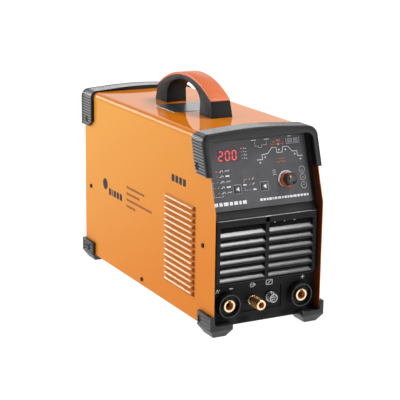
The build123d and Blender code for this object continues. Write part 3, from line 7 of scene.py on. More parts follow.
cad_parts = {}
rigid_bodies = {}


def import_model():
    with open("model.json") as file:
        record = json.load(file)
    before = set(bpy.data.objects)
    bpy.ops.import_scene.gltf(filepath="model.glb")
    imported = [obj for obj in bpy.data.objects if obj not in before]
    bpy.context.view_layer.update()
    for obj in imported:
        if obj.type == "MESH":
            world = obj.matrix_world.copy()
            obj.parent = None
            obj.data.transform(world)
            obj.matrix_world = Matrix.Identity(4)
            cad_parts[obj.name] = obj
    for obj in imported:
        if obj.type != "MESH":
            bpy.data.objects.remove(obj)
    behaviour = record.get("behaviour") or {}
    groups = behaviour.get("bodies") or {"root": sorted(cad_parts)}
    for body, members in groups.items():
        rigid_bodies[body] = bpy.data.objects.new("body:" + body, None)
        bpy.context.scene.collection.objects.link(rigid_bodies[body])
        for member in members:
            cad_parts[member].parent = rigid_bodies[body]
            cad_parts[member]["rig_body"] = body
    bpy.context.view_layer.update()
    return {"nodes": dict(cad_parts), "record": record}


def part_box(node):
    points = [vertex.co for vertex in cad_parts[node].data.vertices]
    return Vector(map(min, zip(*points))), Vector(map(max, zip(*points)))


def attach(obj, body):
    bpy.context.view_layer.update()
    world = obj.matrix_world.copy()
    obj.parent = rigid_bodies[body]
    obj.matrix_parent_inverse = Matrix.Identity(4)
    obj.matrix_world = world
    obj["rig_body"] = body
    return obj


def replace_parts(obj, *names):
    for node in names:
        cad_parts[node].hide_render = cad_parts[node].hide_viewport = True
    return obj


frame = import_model()
nodes = frame["nodes"]
MM = 0.001


# ------------------------------------------------------------------ places, from the frame and the CAD
cover_low, cover_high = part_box("cover")
CASE_X = 92 * MM                       # outer face of each side wall
BASE_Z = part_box("front_panel")[0].z
TOP_Z = cover_high.z
FRONT_Y = cover_low.y
REAR_Y = cover_high.y
FACE_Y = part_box("front_grille")[1].y   # lower front panel
RAKE = radians(17.8)
KNEE_Z = BASE_Z + 176.4 * MM
PANEL_ORIGIN = Vector((0, FRONT_Y + 17 * MM, KNEE_Z))
PANEL_UP = Vector((0, sin(RAKE), cos(RAKE)))
PANEL_OUT = Vector((0, -cos(RAKE), sin(RAKE)))
RIGHT = Vector((1, 0, 0))
UP = Vector((0, 0, 1))
FORWARD = Vector((0, -1, 0))


def on_panel(x, up, out=0.0):
    """Point on the raked control panel, from millimetres across, up the slope and out of the face."""
    return PANEL_ORIGIN + RIGHT * x * MM + PANEL_UP * up * MM + PANEL_OUT * out * MM


# ------------------------------------------------------------------ mesh helpers
def add_object(name, data):
    """Put a new object in the scene; a bmesh is turned into a mesh and freed."""
    if isinstance(data, bmesh.types.BMesh):
        mesh = bpy.data.meshes.new(name)
        data.to_mesh(mesh)
        data.free()
        data = mesh
    made = bpy.data.objects.new(name, data)
    bpy.context.scene.collection.objects.link(made)
    return made


def new_piece(name, bm, material, body="machine"):
    """Turn a bmesh into a named piece with a material that rides on a CAD body."""
    piece = add_object(name, bm)
    piece.data.materials.append(material)
    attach(piece, body)
    return piece


def smooth(piece, angle=35):
    """Smooth shading with sharp edges kept above an angle and large flat faces kept flat."""
    piece.data.shade_smooth()
    piece.data.set_sharp_from_angle(angle=radians(angle))
    normals = piece.modifiers.new("normals", "WEIGHTED_NORMAL")
    normals.keep_sharp = True


def settle(piece):
    """Fix a piece's modifiers into its mesh."""
    graph = bpy.context.evaluated_depsgraph_get()
    mesh = bpy.data.meshes.new_from_object(piece.evaluated_get(graph))
    piece.modifiers.clear()
    piece.data = mesh


def thicken(piece, thickness, material_step=0):
    """Give an open sheet its thickness on the inner side; the inner face may use a later material slot."""
    solid = piece.modifiers.new("sheet", "SOLIDIFY")
    solid.thickness = thickness * MM
    solid.offset = -1
    solid.material_offset = material_step
    settle(piece)


def lattice(bm, rows, skip=(), flip=False, paint=None):
    """Quads between equal rows of points; skip leaves cells out and paint picks a cell's material slot."""
    verts = [[bm.verts.new(point) for point in row] for row in rows]
    for i in range(len(rows) - 1):
        for j in range(len(rows[0]) - 1):
            if (i, j) not in skip:
                ring = [verts[i][j], verts[i][j + 1], verts[i + 1][j + 1], verts[i + 1][j]]
                face = bm.faces.new(reversed(ring) if flip else ring)
                face.material_index = paint(i, j) if paint else 0
    return verts


def tidy(bm):
    """Join points that meet and drop faces that have closed up."""
    bmesh.ops.remove_doubles(bm, verts=bm.verts, dist=1e-6)
    bmesh.ops.dissolve_degenerate(bm, edges=bm.edges, dist=1e-6)


def prism(bm, outline, travel):
    """Closed solid from an outline of points, drawn out along a vector."""
    near = [bm.verts.new(point) for point in outline]
    far = [bm.verts.new(point + travel) for point in outline]
    bm.faces.new(near)
    bm.faces.new(reversed(far))
    for k in range(len(near)):
        nxt = (k + 1) % len(near)
        bm.faces.new((near[k], far[k], far[nxt], near[nxt]))


def soften(node, width, material, flatten=False):
    """Stand a copy of a CAD node in for it, with its edges rounded off."""
    source = nodes[node]
    bm = bmesh.new()
    bm.from_mesh(source.data)
    bmesh.ops.remove_doubles(bm, verts=bm.verts, dist=1e-6)
    if flatten:
        bmesh.ops.dissolve_limit(bm, angle_limit=radians(0.6), verts=bm.verts, edges=bm.edges)
    piece = new_piece(node + "_skin", bm, material, source["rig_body"])
    bevel = piece.modifiers.new("edges", "BEVEL")
    bevel.width = width * MM
    bevel.segments = 2
    bevel.limit_method = "ANGLE"
    bevel.angle_limit = radians(32)
    bevel.miter_outer = "MITER_ARC"
    bevel.use_clamp_overlap = True
    bevel.harden_normals = True
    piece.data.shade_smooth()
    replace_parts(piece, node)


# ------------------------------------------------------------------ material helpers
def principled(mat):
    """The main shader of a material."""
    return mat.node_tree.nodes["Principled BSDF"]


def glow_colour(mat, colour):
    """Set the colour that a material shines in."""
    principled(mat).inputs["Emission Color"].default_value = (*colour, 1)


def material(name, colour, roughness, metallic=0.0, **inputs):
    """A principled material; extra keyword inputs are set on the shader's own sockets."""
    mat = bpy.data.materials.new(name)
    mat.use_nodes = True
    shader = principled(mat)
    shader.inputs["Base Color"].default_value = (*colour, 1)
    shader.inputs["Roughness"].default_value = roughness
    shader.inputs["Metallic"].default_value = metallic
    for key, value in inputs.items():
        shader.inputs[key.replace("_", " ").title().replace("Ior", "IOR")].default_value = value
    return mat


def noise(mat, scale, detail=4.0, roughness=0.5, stretch=(1, 1, 1)):
    """Noise over the object's own coordinates, in metres; returns its value socket."""
    tree = mat.node_tree
    coord = tree.nodes.new("ShaderNodeTexCoord")
    mapping = tree.nodes.new("ShaderNodeMapping")
    mapping.inputs["Scale"].default_value = stretch
    texture = tree.nodes.new("ShaderNodeTexNoise")
    texture.inputs["Scale"].default_value = scale
    texture.inputs["Detail"].default_value = detail
    texture.inputs["Roughness"].default_value = roughness
    tree.links.new(coord.outputs["Object"], mapping.inputs["Vector"])
    tree.links.new(mapping.outputs["Vector"], texture.inputs["Vector"])
    return texture.outputs["Fac"]


def ramp(mat, value, low, high, start=0.35, end=0.65):
    """Colour ramp between two colours, driven by a value socket."""
    node = mat.node_tree.nodes.new("ShaderNodeValToRGB")
    first, last = node.color_ramp.elements
    first.position, last.position = start, end
    first.color, last.color = (*low, 1), (*high, 1)
    mat.node_tree.links.new(value, node.inputs["Fac"])
    return node.outputs["Color"]


def drive_colour(mat, socket):
    """Take the base colour from a socket."""
    mat.node_tree.links.new(socket, principled(mat).inputs["Base Color"])


def drive_roughness(mat, value, low, high):
    """Roughness varies between two figures with a value socket."""
    tree = mat.node_tree
    node = tree.nodes.new("ShaderNodeMapRange")
    node.inputs["To Min"].default_value = low
    node.inputs["To Max"].default_value = high
    tree.links.new(value, node.inputs["Value"])
    tree.links.new(node.outputs["Result"], principled(mat).inputs["Roughness"])


def bump(mat, value, strength, distance):
    """Fine relief from a value socket; distance is in metres."""
    tree = mat.node_tree
    node = tree.nodes.new("ShaderNodeBump")
    node.inputs["Strength"].default_value = strength
    node.inputs["Distance"].default_value = distance
    tree.links.new(value, node.inputs["Height"])
    tree.links.new(node.outputs["Normal"], principled(mat).inputs["Normal"])


def shades(colour, spread):
    """A darker and a lighter version of a colour."""
    return [c * (1 - spread) for c in colour], [min(1, c * (1 + spread)) for c in colour]


# ------------------------------------------------------------------ materials
def gloss_paint(name, colour, gloss=0.8):
    """Powder coat under a clear gloss: faint orange peel and slow colour drift."""
    mat = material(name, colour, 0.45, coat_weight=gloss, coat_roughness=0.03, coat_ior=1.5,
                   specular_ior_level=0)
    low, high = shades(colour, 0.04)
    drive_colour(mat, ramp(mat, noise(mat, 9, 2), low, high, 0.3, 0.7))
    drive_roughness(mat, noise(mat, 60, 3), 0.40, 0.50)
    bump(mat, noise(mat, 900, 2), 0.015, 0.0002)
    return mat


def painted_light_gradient(mat, low, high):
    """Painted light: the colour gets lighter and yellower from the low front corner of a wall to its high
    rear corner.
    """
    tree = mat.node_tree
    coord = tree.nodes.new("ShaderNodeTexCoord")
    slant = tree.nodes.new("ShaderNodeVectorMath")
    slant.operation = "DOT_PRODUCT"
    slant.inputs[1].default_value = (0, 1.3, 2.6)
    tree.links.new(coord.outputs["Object"], slant.inputs[0])
    drive_colour(mat, ramp(mat, slant.outputs["Value"], low, high, 0.0, 0.85))


def moulded(name, colour, roughness, grain=2600, depth=0.25, spread=0.12, **inputs):
    """Moulded plastic with a fine spark-eroded grain."""
    mat = material(name, colour, roughness, **inputs)
    low, high = shades(colour, spread)
    drive_colour(mat, ramp(mat, noise(mat, 45, 5), low, high))
    drive_roughness(mat, noise(mat, 220, 4), roughness - 0.05, roughness + 0.06)
    bump(mat, noise(mat, grain, 3), depth, 0.0002)
    return mat


def metal(name, colour, roughness, stretch=(1, 1, 1), scale=700, depth=0.08, spread=0.1):
    """Machined or plated metal with fine tool marks and slight tarnish."""
    mat = material(name, colour, roughness, 1.0)
    low, high = shades(colour, spread)
    drive_colour(mat, ramp(mat, noise(mat, 120, 4), low, high))
    drive_roughness(mat, noise(mat, scale, 4, 0.6, stretch), roughness * 0.7, roughness * 1.35)
    bump(mat, noise(mat, scale, 3, 0.6, stretch), depth, 0.0001)
    return mat


ORANGE = (0.72, 0.205, 0.006)
mats = {
    "orange_paint": gloss_paint("orange paint", ORANGE),
    "galvanised": metal("galvanised", (0.55, 0.56, 0.57), 0.42, scale=160, spread=0.2),
    "black_moulding": moulded("black moulding", (0.009, 0.009, 0.0095), 0.42, specular_ior_level=0.22),
    "black_guard": moulded("black guard", (0.016, 0.016, 0.0165), 0.36, specular_ior_level=0.35),
    "handle_black": moulded("handle black", (0.010, 0.010, 0.0105), 0.46, specular_ior_level=0.18),
    "handle_orange": moulded("handle orange", (0.70, 0.165, 0.05), 0.34, spread=0.04),
    "overlay_film": moulded("overlay film", (0.060, 0.060, 0.064), 0.5, grain=3200, depth=0.12, spread=0.14,
                            specular_ior_level=0.4),
    "smoked_window": moulded("smoked window", (0.022, 0.007, 0.016), 0.3, depth=0.05,
                             specular_ior_level=0.25),
    "display_epoxy": moulded("display epoxy", (0.05, 0.01, 0.02), 0.3),
    "led_lens": material("led lens", (0.75, 0.72, 0.7), 0.3),
    "circuit_board": moulded("circuit board", (0.02, 0.12, 0.05), 0.35),
    "switch_black": moulded("switch black", (0.02, 0.02, 0.022), 0.3, depth=0.08),
    "button_black": moulded("button black", (0.02, 0.02, 0.022), 0.38, depth=0.1),
    "knob_orange": moulded("knob orange", (0.62, 0.09, 0.008), 0.32, depth=0.08, spread=0.05),
    "knob_black": moulded("knob black", (0.030, 0.030, 0.031), 0.36),
    "black_screw": metal("black screw", (0.035, 0.03, 0.03), 0.38),
    "zinc_screw": metal("zinc screw", (0.6, 0.6, 0.6), 0.32),
    "label_foil": metal("label foil", (0.42, 0.43, 0.45), 0.3, stretch=(1, 30, 1), scale=300),
    "brass": metal("brass", (0.88, 0.66, 0.43), 0.24),
    "nickel": metal("nickel", (0.40, 0.40, 0.41), 0.26),
    "contact_gold": metal("contact gold", (0.85, 0.82, 0.75), 0.25),
    "connector_black": moulded("connector black", (0.22, 0.22, 0.225), 0.45),
    "fan_plastic": moulded("fan plastic", (0.02, 0.02, 0.021), 0.42),
    "wire_guard": metal("wire guard", (0.65, 0.65, 0.66), 0.22),
    "grey_nylon": moulded("grey nylon", (0.06, 0.06, 0.063), 0.5),
    "heatsink_alloy": metal("heatsink alloy", (0.6, 0.61, 0.62), 0.38, stretch=(1, 0.05, 1), scale=900),
    "module_epoxy": moulded("module epoxy", (0.04, 0.04, 0.042), 0.5),
    "capacitor_sleeve": moulded("capacitor sleeve", (0.015, 0.03, 0.08), 0.3),
    "ferrite": moulded("ferrite", (0.06, 0.06, 0.062), 0.6),
    "copper_winding": metal("copper winding", (0.55, 0.2, 0.08), 0.35, stretch=(1, 1, 12), scale=260,
                            depth=0.3),
    "valve_body": metal("valve body", (0.74, 0.52, 0.26), 0.3),
    "hose_black": moulded("hose black", (0.02, 0.02, 0.02), 0.5),
    "busbar_copper": metal("busbar copper", (0.72, 0.3, 0.14), 0.3),
}
slot_of = {part["node"]: part["material_slot"] for part in frame["record"]["subparts"]}
for name, node in nodes.items():
    node.data.materials.clear()
    node.data.materials.append(mats[slot_of[name]])


def print_ink(name, colour, glow=0.0):
    """Screen-printed ink: a thin, slightly broken film."""
    mat = material(name, colour, 0.6, emission_strength=glow, specular_ior_level=0.15)
    glow_colour(mat, colour)
    low, high = shades(colour, 0.08)
    drive_colour(mat, ramp(mat, noise(mat, 900, 3), low, high))
    return mat


white_ink = print_ink("white ink", (0.74, 0.74, 0.76))
grey_ink = print_ink("grey ink", (0.42, 0.42, 0.44))
orange_ink = print_ink("orange ink", (0.62, 0.16, 0.06))
dark_ink = print_ink("dark ink", (0.03, 0.028, 0.03))
brown_ink = print_ink("brown ink", (0.20, 0.07, 0.02))
red_glow = print_ink("red glow", (0.80, 0.085, 0.10), 0.8)
dim_segment = print_ink("dim segment", (0.13, 0.030, 0.085))
lamp_clear = moulded("lamp clear", (0.36, 0.34, 0.34), 0.3, depth=0.05)
hood_paint = gloss_paint("hood paint", (0.76, 0.28, 0.05), 1.0)
# painted shade: a dark copy of the orange for the hoods' lower halves and front ends
painted_hood_shade = gloss_paint("painted hood shade", (0.28, 0.062, 0.011), 0.3)
wall_paint = gloss_paint("wall paint", (0.72, 0.265, 0.028), 0.3)
# painted light: walls lighter towards the high rear and darker towards the low front
painted_light_gradient(wall_paint, (0.68, 0.205, 0.014), (0.74, 0.315, 0.046))
# painted shade and painted reflection: the inner face of the sheet is dark brown
painted_inner_shade = gloss_paint("painted inner shade", (0.08, 0.021, 0.009), 0.3)
gloss_black = moulded("gloss black", (0.012, 0.012, 0.0125), 0.30, depth=0.1, coat_weight=1.0,
                      coat_roughness=0.22)
lip_black = moulded("lip black", (0.006, 0.006, 0.0065), 0.36, specular_ior_level=0.26)
panel_black = moulded("panel black", (0.013, 0.013, 0.0135), 0.5, specular_ior_level=0.1)
# painted highlight on the bumper rib crests
painted_crest_highlight = moulded("painted crest highlight", (0.22, 0.22, 0.225), 0.32)
rib_groove = moulded("rib groove", (0.026, 0.026, 0.027), 0.34, specular_ior_level=0.6)
# painted highlight round the socket mouths
rim_highlight_ink = print_ink("rim highlight ink", (0.17, 0.17, 0.175))
knurled_brass = metal("knurled brass", (0.36, 0.18, 0.07), 0.34, stretch=(1, 6, 1), scale=500, depth=0.3)
bore_brass = moulded("bore brass", (0.62, 0.24, 0.07), 0.45, grain=900, depth=0.2)
lamp_red = moulded("lamp red", (0.9, 0.10, 0.09), 0.3, depth=0.05, emission_strength=0.55)
glow_colour(lamp_red, (1.0, 0.16, 0.14))
pale_orange_ink = print_ink("pale orange ink", (0.9, 0.35, 0.12))

# ------------------------------------------------------------------ folded cover with pressed louvres
SHEET_T = 1.2
FOLD_R = 10 * MM
FOLD_STEPS = 8
LOUVRE_COUNT = 15
LOUVRE_PITCH = 9.4 * MM
LOUVRE_TOP = BASE_Z + 166.5 * MM
LOUVRE_Y = (FRONT_Y + 60.5 * MM, FRONT_Y + 160 * MM)
LOUVRE_END = 7 * MM
HOOD_H = 7.5 * MM
HOOD_OUT = 4.7 * MM
HOOD_PROFILE = [(0.0, 0.30), (0.10, 0.62), (0.24, 0.86), (0.40, 1.0), (0.52, 0.97), (0.66, 0.82),
                (0.80, 0.55), (0.92, 0.22), (1.0, 0.0)]      # shares of HOOD_H and of HOOD_OUT
HOOD_TURN = 0.40                       # share of HOOD_H below which a hood curls in and takes painted shade
# the lower half and the front end of each hood take painted shade
TOP_SLOT, WALL_SLOT, HOOD_SLOT, HOOD_SHADE_SLOT = 0, 2, 4, 6        # the slot after each is its inner face, which takes painted shade
FRONT_END_CELLS = 6                    # cells up to here are a hood's front end, which takes painted shade


def edge_y(z):
    """Front edge of the cover's side walls at height z."""
    return FRONT_Y + max(0.0, z - KNEE_Z) * tan(RAKE)


def cover_levels():
    """Heights up a side wall with how far the sheet is pressed out, and the cells cut open under lips."""
    levels, cuts = [(BASE_Z, 0.0)], set()
    for row in reversed(range(LOUVRE_COUNT)):
        lip = LOUVRE_TOP - row * LOUVRE_PITCH
        levels.append((lip, 0.0))
        cuts.add(len(levels) - 1)
        levels += [(lip + rise * HOOD_H, out * HOOD_OUT) for rise, out in HOOD_PROFILE]
    levels += [(KNEE_Z, 0.0), (TOP_Z - FOLD_R - 0.5 * MM, 0.0)]
    return levels, cuts


def louvre_columns():
    """Places along the cover with the share of the hood's full depth; the ends are rounded and closed."""
    ends = [(t * LOUVRE_END, sqrt(1 - (1 - t) ** 2)) for t in (0, 0.08, 0.25, 0.5, 0.75, 1)]
    near = [(LOUVRE_Y[0] + t, share) for t, share in ends]
    far = [(LOUVRE_Y[1] - t, share) for t, share in reversed(ends)]
    return [(LOUVRE_Y[0] - MM, 0.0)] + near + far + [(LOUVRE_Y[1] + MM, 0.0)]


def cover_skin():
    """Sheet cover: two side walls with louvres, two folds and the top, bent from one sheet."""
    levels, cuts = cover_levels()
    half = [(-CASE_X, z, -out) for z, out in levels]
    for step in range(FOLD_STEPS + 1):
        turn = pi / 2 * step / FOLD_STEPS
        half.append((FOLD_R - CASE_X - FOLD_R * cos(turn), TOP_Z - FOLD_R + FOLD_R * sin(turn), 0.0))
    half.append((FOLD_R - CASE_X + MM, TOP_Z, 0.0))
    section = half + [(-x, z, -out) for x, z, out in reversed(half)]
    cuts |= {len(section) - 2 - cut for cut in cuts}
    columns = louvre_columns()
    rows = []
    for x, z, out in section:
        places = [(edge_y(z), 0.0), (edge_y(z) + MM, 0.0), *columns, (REAR_Y - MM, 0.0), (REAR_Y, 0.0)]
        rows.append([Vector((x + out * share, y, z)) for y, share in places])
    hood_cells = range(3, len(columns))
    fold_z = TOP_Z - 0.4 * FOLD_R

    def paint(i, j):
        """Polished top, flat walls, the hoods, and painted shade on the hoods' curled-in lips and front ends.
        """
        z = (section[i][1] + section[i + 1][1]) / 2
        if min(section[i][1], section[i + 1][1]) > fold_z:
            return TOP_SLOT
        if j not in hood_cells or section[i][2] == section[i + 1][2] == 0:
            return WALL_SLOT
        rise = ((z - LOUVRE_TOP) / LOUVRE_PITCH) % 1 * LOUVRE_PITCH / HOOD_H
        # painted shade below a hood's turn and on its front end
        return HOOD_SHADE_SLOT if rise < HOOD_TURN or j < FRONT_END_CELLS else HOOD_SLOT

    bm = bmesh.new()
    lattice(bm, rows, {(i, j) for i in cuts for j in range(len(rows[0]))}, flip=True, paint=paint)
    tidy(bm)
    piece = new_piece("cover_skin", bm, mats["orange_paint"])
    # inner faces take painted shade
    for coat in (painted_inner_shade, wall_paint, painted_inner_shade, hood_paint, painted_inner_shade, painted_hood_shade, painted_inner_shade):
        piece.data.materials.append(coat)
    thicken(piece, SHEET_T, 1)
    smooth(piece)
    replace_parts(piece, "cover")


# ------------------------------------------------------------------ front panel moulding
PANEL_X = 90.6 * MM
WINDOW_X = (3 * MM, 79 * MM)
WINDOW_Z = (BASE_Z + 68.8 * MM, BASE_Z + 153 * MM)
POCKET_X = (-35 * MM, 34 * MM)
POCKET_Z = (BASE_Z + 15.5 * MM, BASE_Z + 51 * MM)
POCKET_Y = FACE_Y + 2 * MM


def front_panel_skin():
    """One moulding: flared lower lip, upright face with a connector pocket and windows, raked face.

    It has no openings for the two keys and the knob's shaft, so these pass through it.
    """
    lip = [(3.4, 0), (4.7, 0.3), (5, 1), (5, 2.4), (4.5, 3.6), (0.8, 8), (0, 9.4)]
    profile = [(FACE_Y - out * MM, BASE_Z + up * MM) for out, up in lip]
    profile += [(FACE_Y, z) for z in (*POCKET_Z, *WINDOW_Z, KNEE_Z + 0.6 * MM)]
    profile += [(point.y, point.z) for point in (on_panel(0, up, -0.6) for up in (2.2, 103, 108))]
    across = [-PANEL_X, -WINDOW_X[1], POCKET_X[0], -WINDOW_X[0],
              WINDOW_X[0], POCKET_X[1], WINDOW_X[1], PANEL_X]
    rows = [[Vector((x, y, z)) for x in across] for y, z in profile]
    for point in rows[-1]:
        point.x *= 0.94
    pocket_row = len(lip)
    skip = {(pocket_row, column) for column in (2, 3, 4)}
    skip |= {(pocket_row + 2, column) for column in (1, 2, 4, 5)}
    bm = bmesh.new()
    lattice(bm, rows, skip)
    corners = [(POCKET_X[0], POCKET_Z[0]), (POCKET_X[1], POCKET_Z[0]), (POCKET_X[1], POCKET_Z[1]),
               (POCKET_X[0], POCKET_Z[1]), (POCKET_X[0], POCKET_Z[0])]
    lattice(bm, [[Vector((x, y, z)) for x, z in corners] for y in (FACE_Y, POCKET_Y)])
    bm.faces.new([bm.verts.new(Vector((x, POCKET_Y, z))) for x, z in corners[:4]])
    tidy(bm)
    piece = new_piece("front_panel_skin", bm, panel_black)
    thicken(piece, 2.4)
    smooth(piece, 40)
    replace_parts(piece, "front_panel")


# ------------------------------------------------------------------ front grille
GRILLE_X = 86 * MM
GRILLE_Y = FACE_Y - 12 * MM
GRILLE_Z = (BASE_Z + 66 * MM, BASE_Z + 163.5 * MM)
SHELF_H = 11.5 * MM
WELL_X = 6 * MM
WELL_R = 4.1 * MM
WELL_DEPTH = 8 * MM
BLADE_COUNT = 6
BLADE_PITCH = 13.6 * MM
BLADE_Z = BASE_Z + 71.8 * MM
BLADE = [(0.5, -4.6), (0, -4.1), (0, -1.5), (0.3, -0.7), (1.0, 0.2), (4.6, 4.2), (8.5, 9.2),
         (10.2, 9.2), (6, 2.6), (2, -1.4), (2, -4.6)]        # back from the front and up from the lip
CHAMFER = 4.5 * MM
TOP_EDGE_Z = GRILLE_Z[1] - 0.7 * MM
GLOSS_DEPTH = 3.6 * MM                 # how far back the glossy front of a blade goes


def grille_row(y_front, z, inset=0.0):
    """Points across the grille at one height, from the panel round the front and back to the panel."""
    edge = GRILLE_X - inset
    inner = [(x, y_front) for x in (-WINDOW_X[1], -WELL_X, -WINDOW_X[0], WINDOW_X[0], WELL_X, WINDOW_X[1])]
    front = [(-edge, y_front + MM), (MM - edge, y_front), *inner, (edge - MM, y_front), (edge, y_front + MM)]
    places = [(-edge, FACE_Y), *front, (edge, FACE_Y)]
    return [Vector((x, min(y, FACE_Y), z)) for x, y in places]


def screw_well(bm, low, high, radius, depth, steps=32):
    """Plate between two corners with a round well sunk in it."""
    centre = Vector(((low.x + high.x) / 2, GRILLE_Y, (low.z + high.z) / 2))
    rings = [[], [], []]
    for step in range(steps + 1):
        turn = 2 * pi * (step + 0.5) / steps
        across, rise = cos(turn), sin(turn)
        reach = min((high.x - centre.x) / max(abs(across), 1e-6), (high.z - centre.z) / max(abs(rise), 1e-6))
        rings[0].append(centre + Vector((across, 0, rise)) * reach)
        rings[1].append(centre + Vector((across, 0, rise)) * radius)
        rings[2].append(centre + Vector((across * radius, depth, rise * radius)))
    lattice(bm, rings, flip=True)


def front_grille_skin():
    """Grille frame with a coved shelf on top, two windows and their sloping blades."""
    rows = [grille_row(FACE_Y, GRILLE_Z[0], CHAMFER),
            grille_row(GRILLE_Y + 0.8 * MM, GRILLE_Z[0], CHAMFER),
            grille_row(GRILLE_Y, GRILLE_Z[0] + 0.8 * MM, 3.7 * MM),
            grille_row(GRILLE_Y, WINDOW_Z[0], 1.7 * MM),
            grille_row(GRILLE_Y, GRILLE_Z[0] + CHAMFER),
            grille_row(GRILLE_Y, WINDOW_Z[1]),
            grille_row(GRILLE_Y, TOP_EDGE_Z)]
    for step in range(9):
        back = 0.05 + 0.95 * step / 8
        rows.append(grille_row(GRILLE_Y + (FACE_Y - GRILLE_Y) * back, GRILLE_Z[1] + SHELF_H * back ** 1.6))
    skip = {(row, column) for row in (3, 4) for column in (3, 4, 6, 7)}
    skip |= {(5, column) for column in (4, 5, 6)}
    bm = bmesh.new()
    lattice(bm, rows, skip)
    for side in (-1, 1):
        inner, outer = side * WINDOW_X[0], side * WINDOW_X[1]
        ring = [(inner, WINDOW_Z[0]), (outer, WINDOW_Z[0]), (outer, WINDOW_Z[1]), (inner, WINDOW_Z[1]),
                (inner, WINDOW_Z[0])]
        lattice(bm, [[Vector((x, y, z)) for x, z in ring] for y in (GRILLE_Y, FACE_Y)], flip=side < 0)
        for row in range(BLADE_COUNT):
            lip = BLADE_Z + row * BLADE_PITCH
            outline = [Vector((inner, GRILLE_Y + back * MM, lip + up * MM)) for back, up in BLADE]
            prism(bm, outline, RIGHT * (outer - inner))
    tidy(bm)
    screw_well(bm, Vector((-WELL_X, 0, WINDOW_Z[1])), Vector((WELL_X, 0, TOP_EDGE_Z)), WELL_R, WELL_DEPTH)
    bmesh.ops.recalc_face_normals(bm, faces=bm.faces)
    piece = new_piece("front_grille_skin", bm, panel_black)
    piece.data.materials.append(gloss_black)
    sloped = [face for face in piece.data.polygons if 0.3 < abs(face.normal.z) < 0.95]
    in_windows = [face for face in sloped if face.center.z < WINDOW_Z[1]]
    lip_y = min(face.center.y for face in in_windows)
    for face in in_windows:
        face.material_index = 1 if face.center.y < lip_y + GLOSS_DEPTH else 0
    for face in sloped:
        if abs(face.center.z - GRILLE_Z[1] + 0.35 * MM) < 0.5 * MM:
            face.material_index = 1
    smooth(piece, 50)
    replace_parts(piece, "front_grille")


# ------------------------------------------------------------------ ribbed bumpers
GUARD_X = 97.5 * MM
ARCH_CORNER = Vector((84.5 * MM, 0, BASE_Z + 273.25 * MM))
ARCH_R = 13 * MM
ARCH_TURN = radians(86.13)
CROWN_Z = BASE_Z + 290.4 * MM
CROWN_HALF = 47 * MM
CROWN_R = 700 * MM
RIB_PITCH = 4.5 * MM
RIB_D = 1.2 * MM
RIB_SHAPE = [(0.0, 0.0), (0.26, 0.0), (0.42, 1.0), (0.84, 1.0)]
OPENING_X = 88.5 * MM
OPENING_Z = BASE_Z + 277 * MM
OPENING_R = 9 * MM
LIP_BAND = 6 * MM
FRONT_BUMPER_H = 228                   # lower ends above the case bottom, in millimetres
REAR_BUMPER_H = 226
SEAT_R = 5.2 * MM
SEAT_DEPTH = 2.8 * MM
# the crest slot holds a painted highlight
GROOVE_SLOT, LIP_BLACK_SLOT, CREST_HIGHLIGHT_SLOT = 0, 1, 2
CREST_CELL = 7                         # cells along a row: 2 to 5 the lip, 7 the top of the ribs


def outer_line(bottom):
    """Smooth outer line of a bumper from its left end over the top to its right end."""
    half = [Vector((-GUARD_X, 0, bottom)), Vector((-GUARD_X, 0, ARCH_CORNER.z))]
    for step in range(1, 10):
        turn = ARCH_TURN * step / 9
        half.append(Vector((-ARCH_CORNER.x - ARCH_R * cos(turn), 0, ARCH_CORNER.z + ARCH_R * sin(turn))))
    for step in range(10):
        x = -CROWN_HALF * (1 - step / 10)
        half.append(Vector((x, 0, CROWN_Z - x * x / (2 * CROWN_R))))
    return half + [Vector((0, 0, CROWN_Z))] + [Vector((-point.x, 0, point.z)) for point in reversed(half)]


def at_length(line, reach):
    """Point and outward normal at a distance along a line."""
    for a, b in zip(line, line[1:]):
        step = (b - a).length
        if reach <= step or b is line[-1]:
            along = (b - a) / step
            return a + along * min(reach, step), Vector((-along.z, 0, along.x))
        reach -= step


def matching_point(reach, total, bottom, half, top, radius):
    """Point of a plain round-cornered frame that belongs with a place on the outer line."""
    side = -1 if reach < total / 2 else 1
    reach = min(reach, total - reach)
    upright, corner = ARCH_CORNER.z - bottom, ARCH_R * ARCH_TURN
    if reach < upright:
        return Vector((side * half, 0, bottom + (top - radius - bottom) * reach / upright))
    if reach < upright + corner:
        turn = pi / 2 * (reach - upright) / corner
        return Vector((side * (half - radius + radius * cos(turn)), 0, top - radius + radius * sin(turn)))
    share = (reach - upright - corner) / (total / 2 - upright - corner)
    return Vector((side * (half - radius) * (1 - share), 0, top))


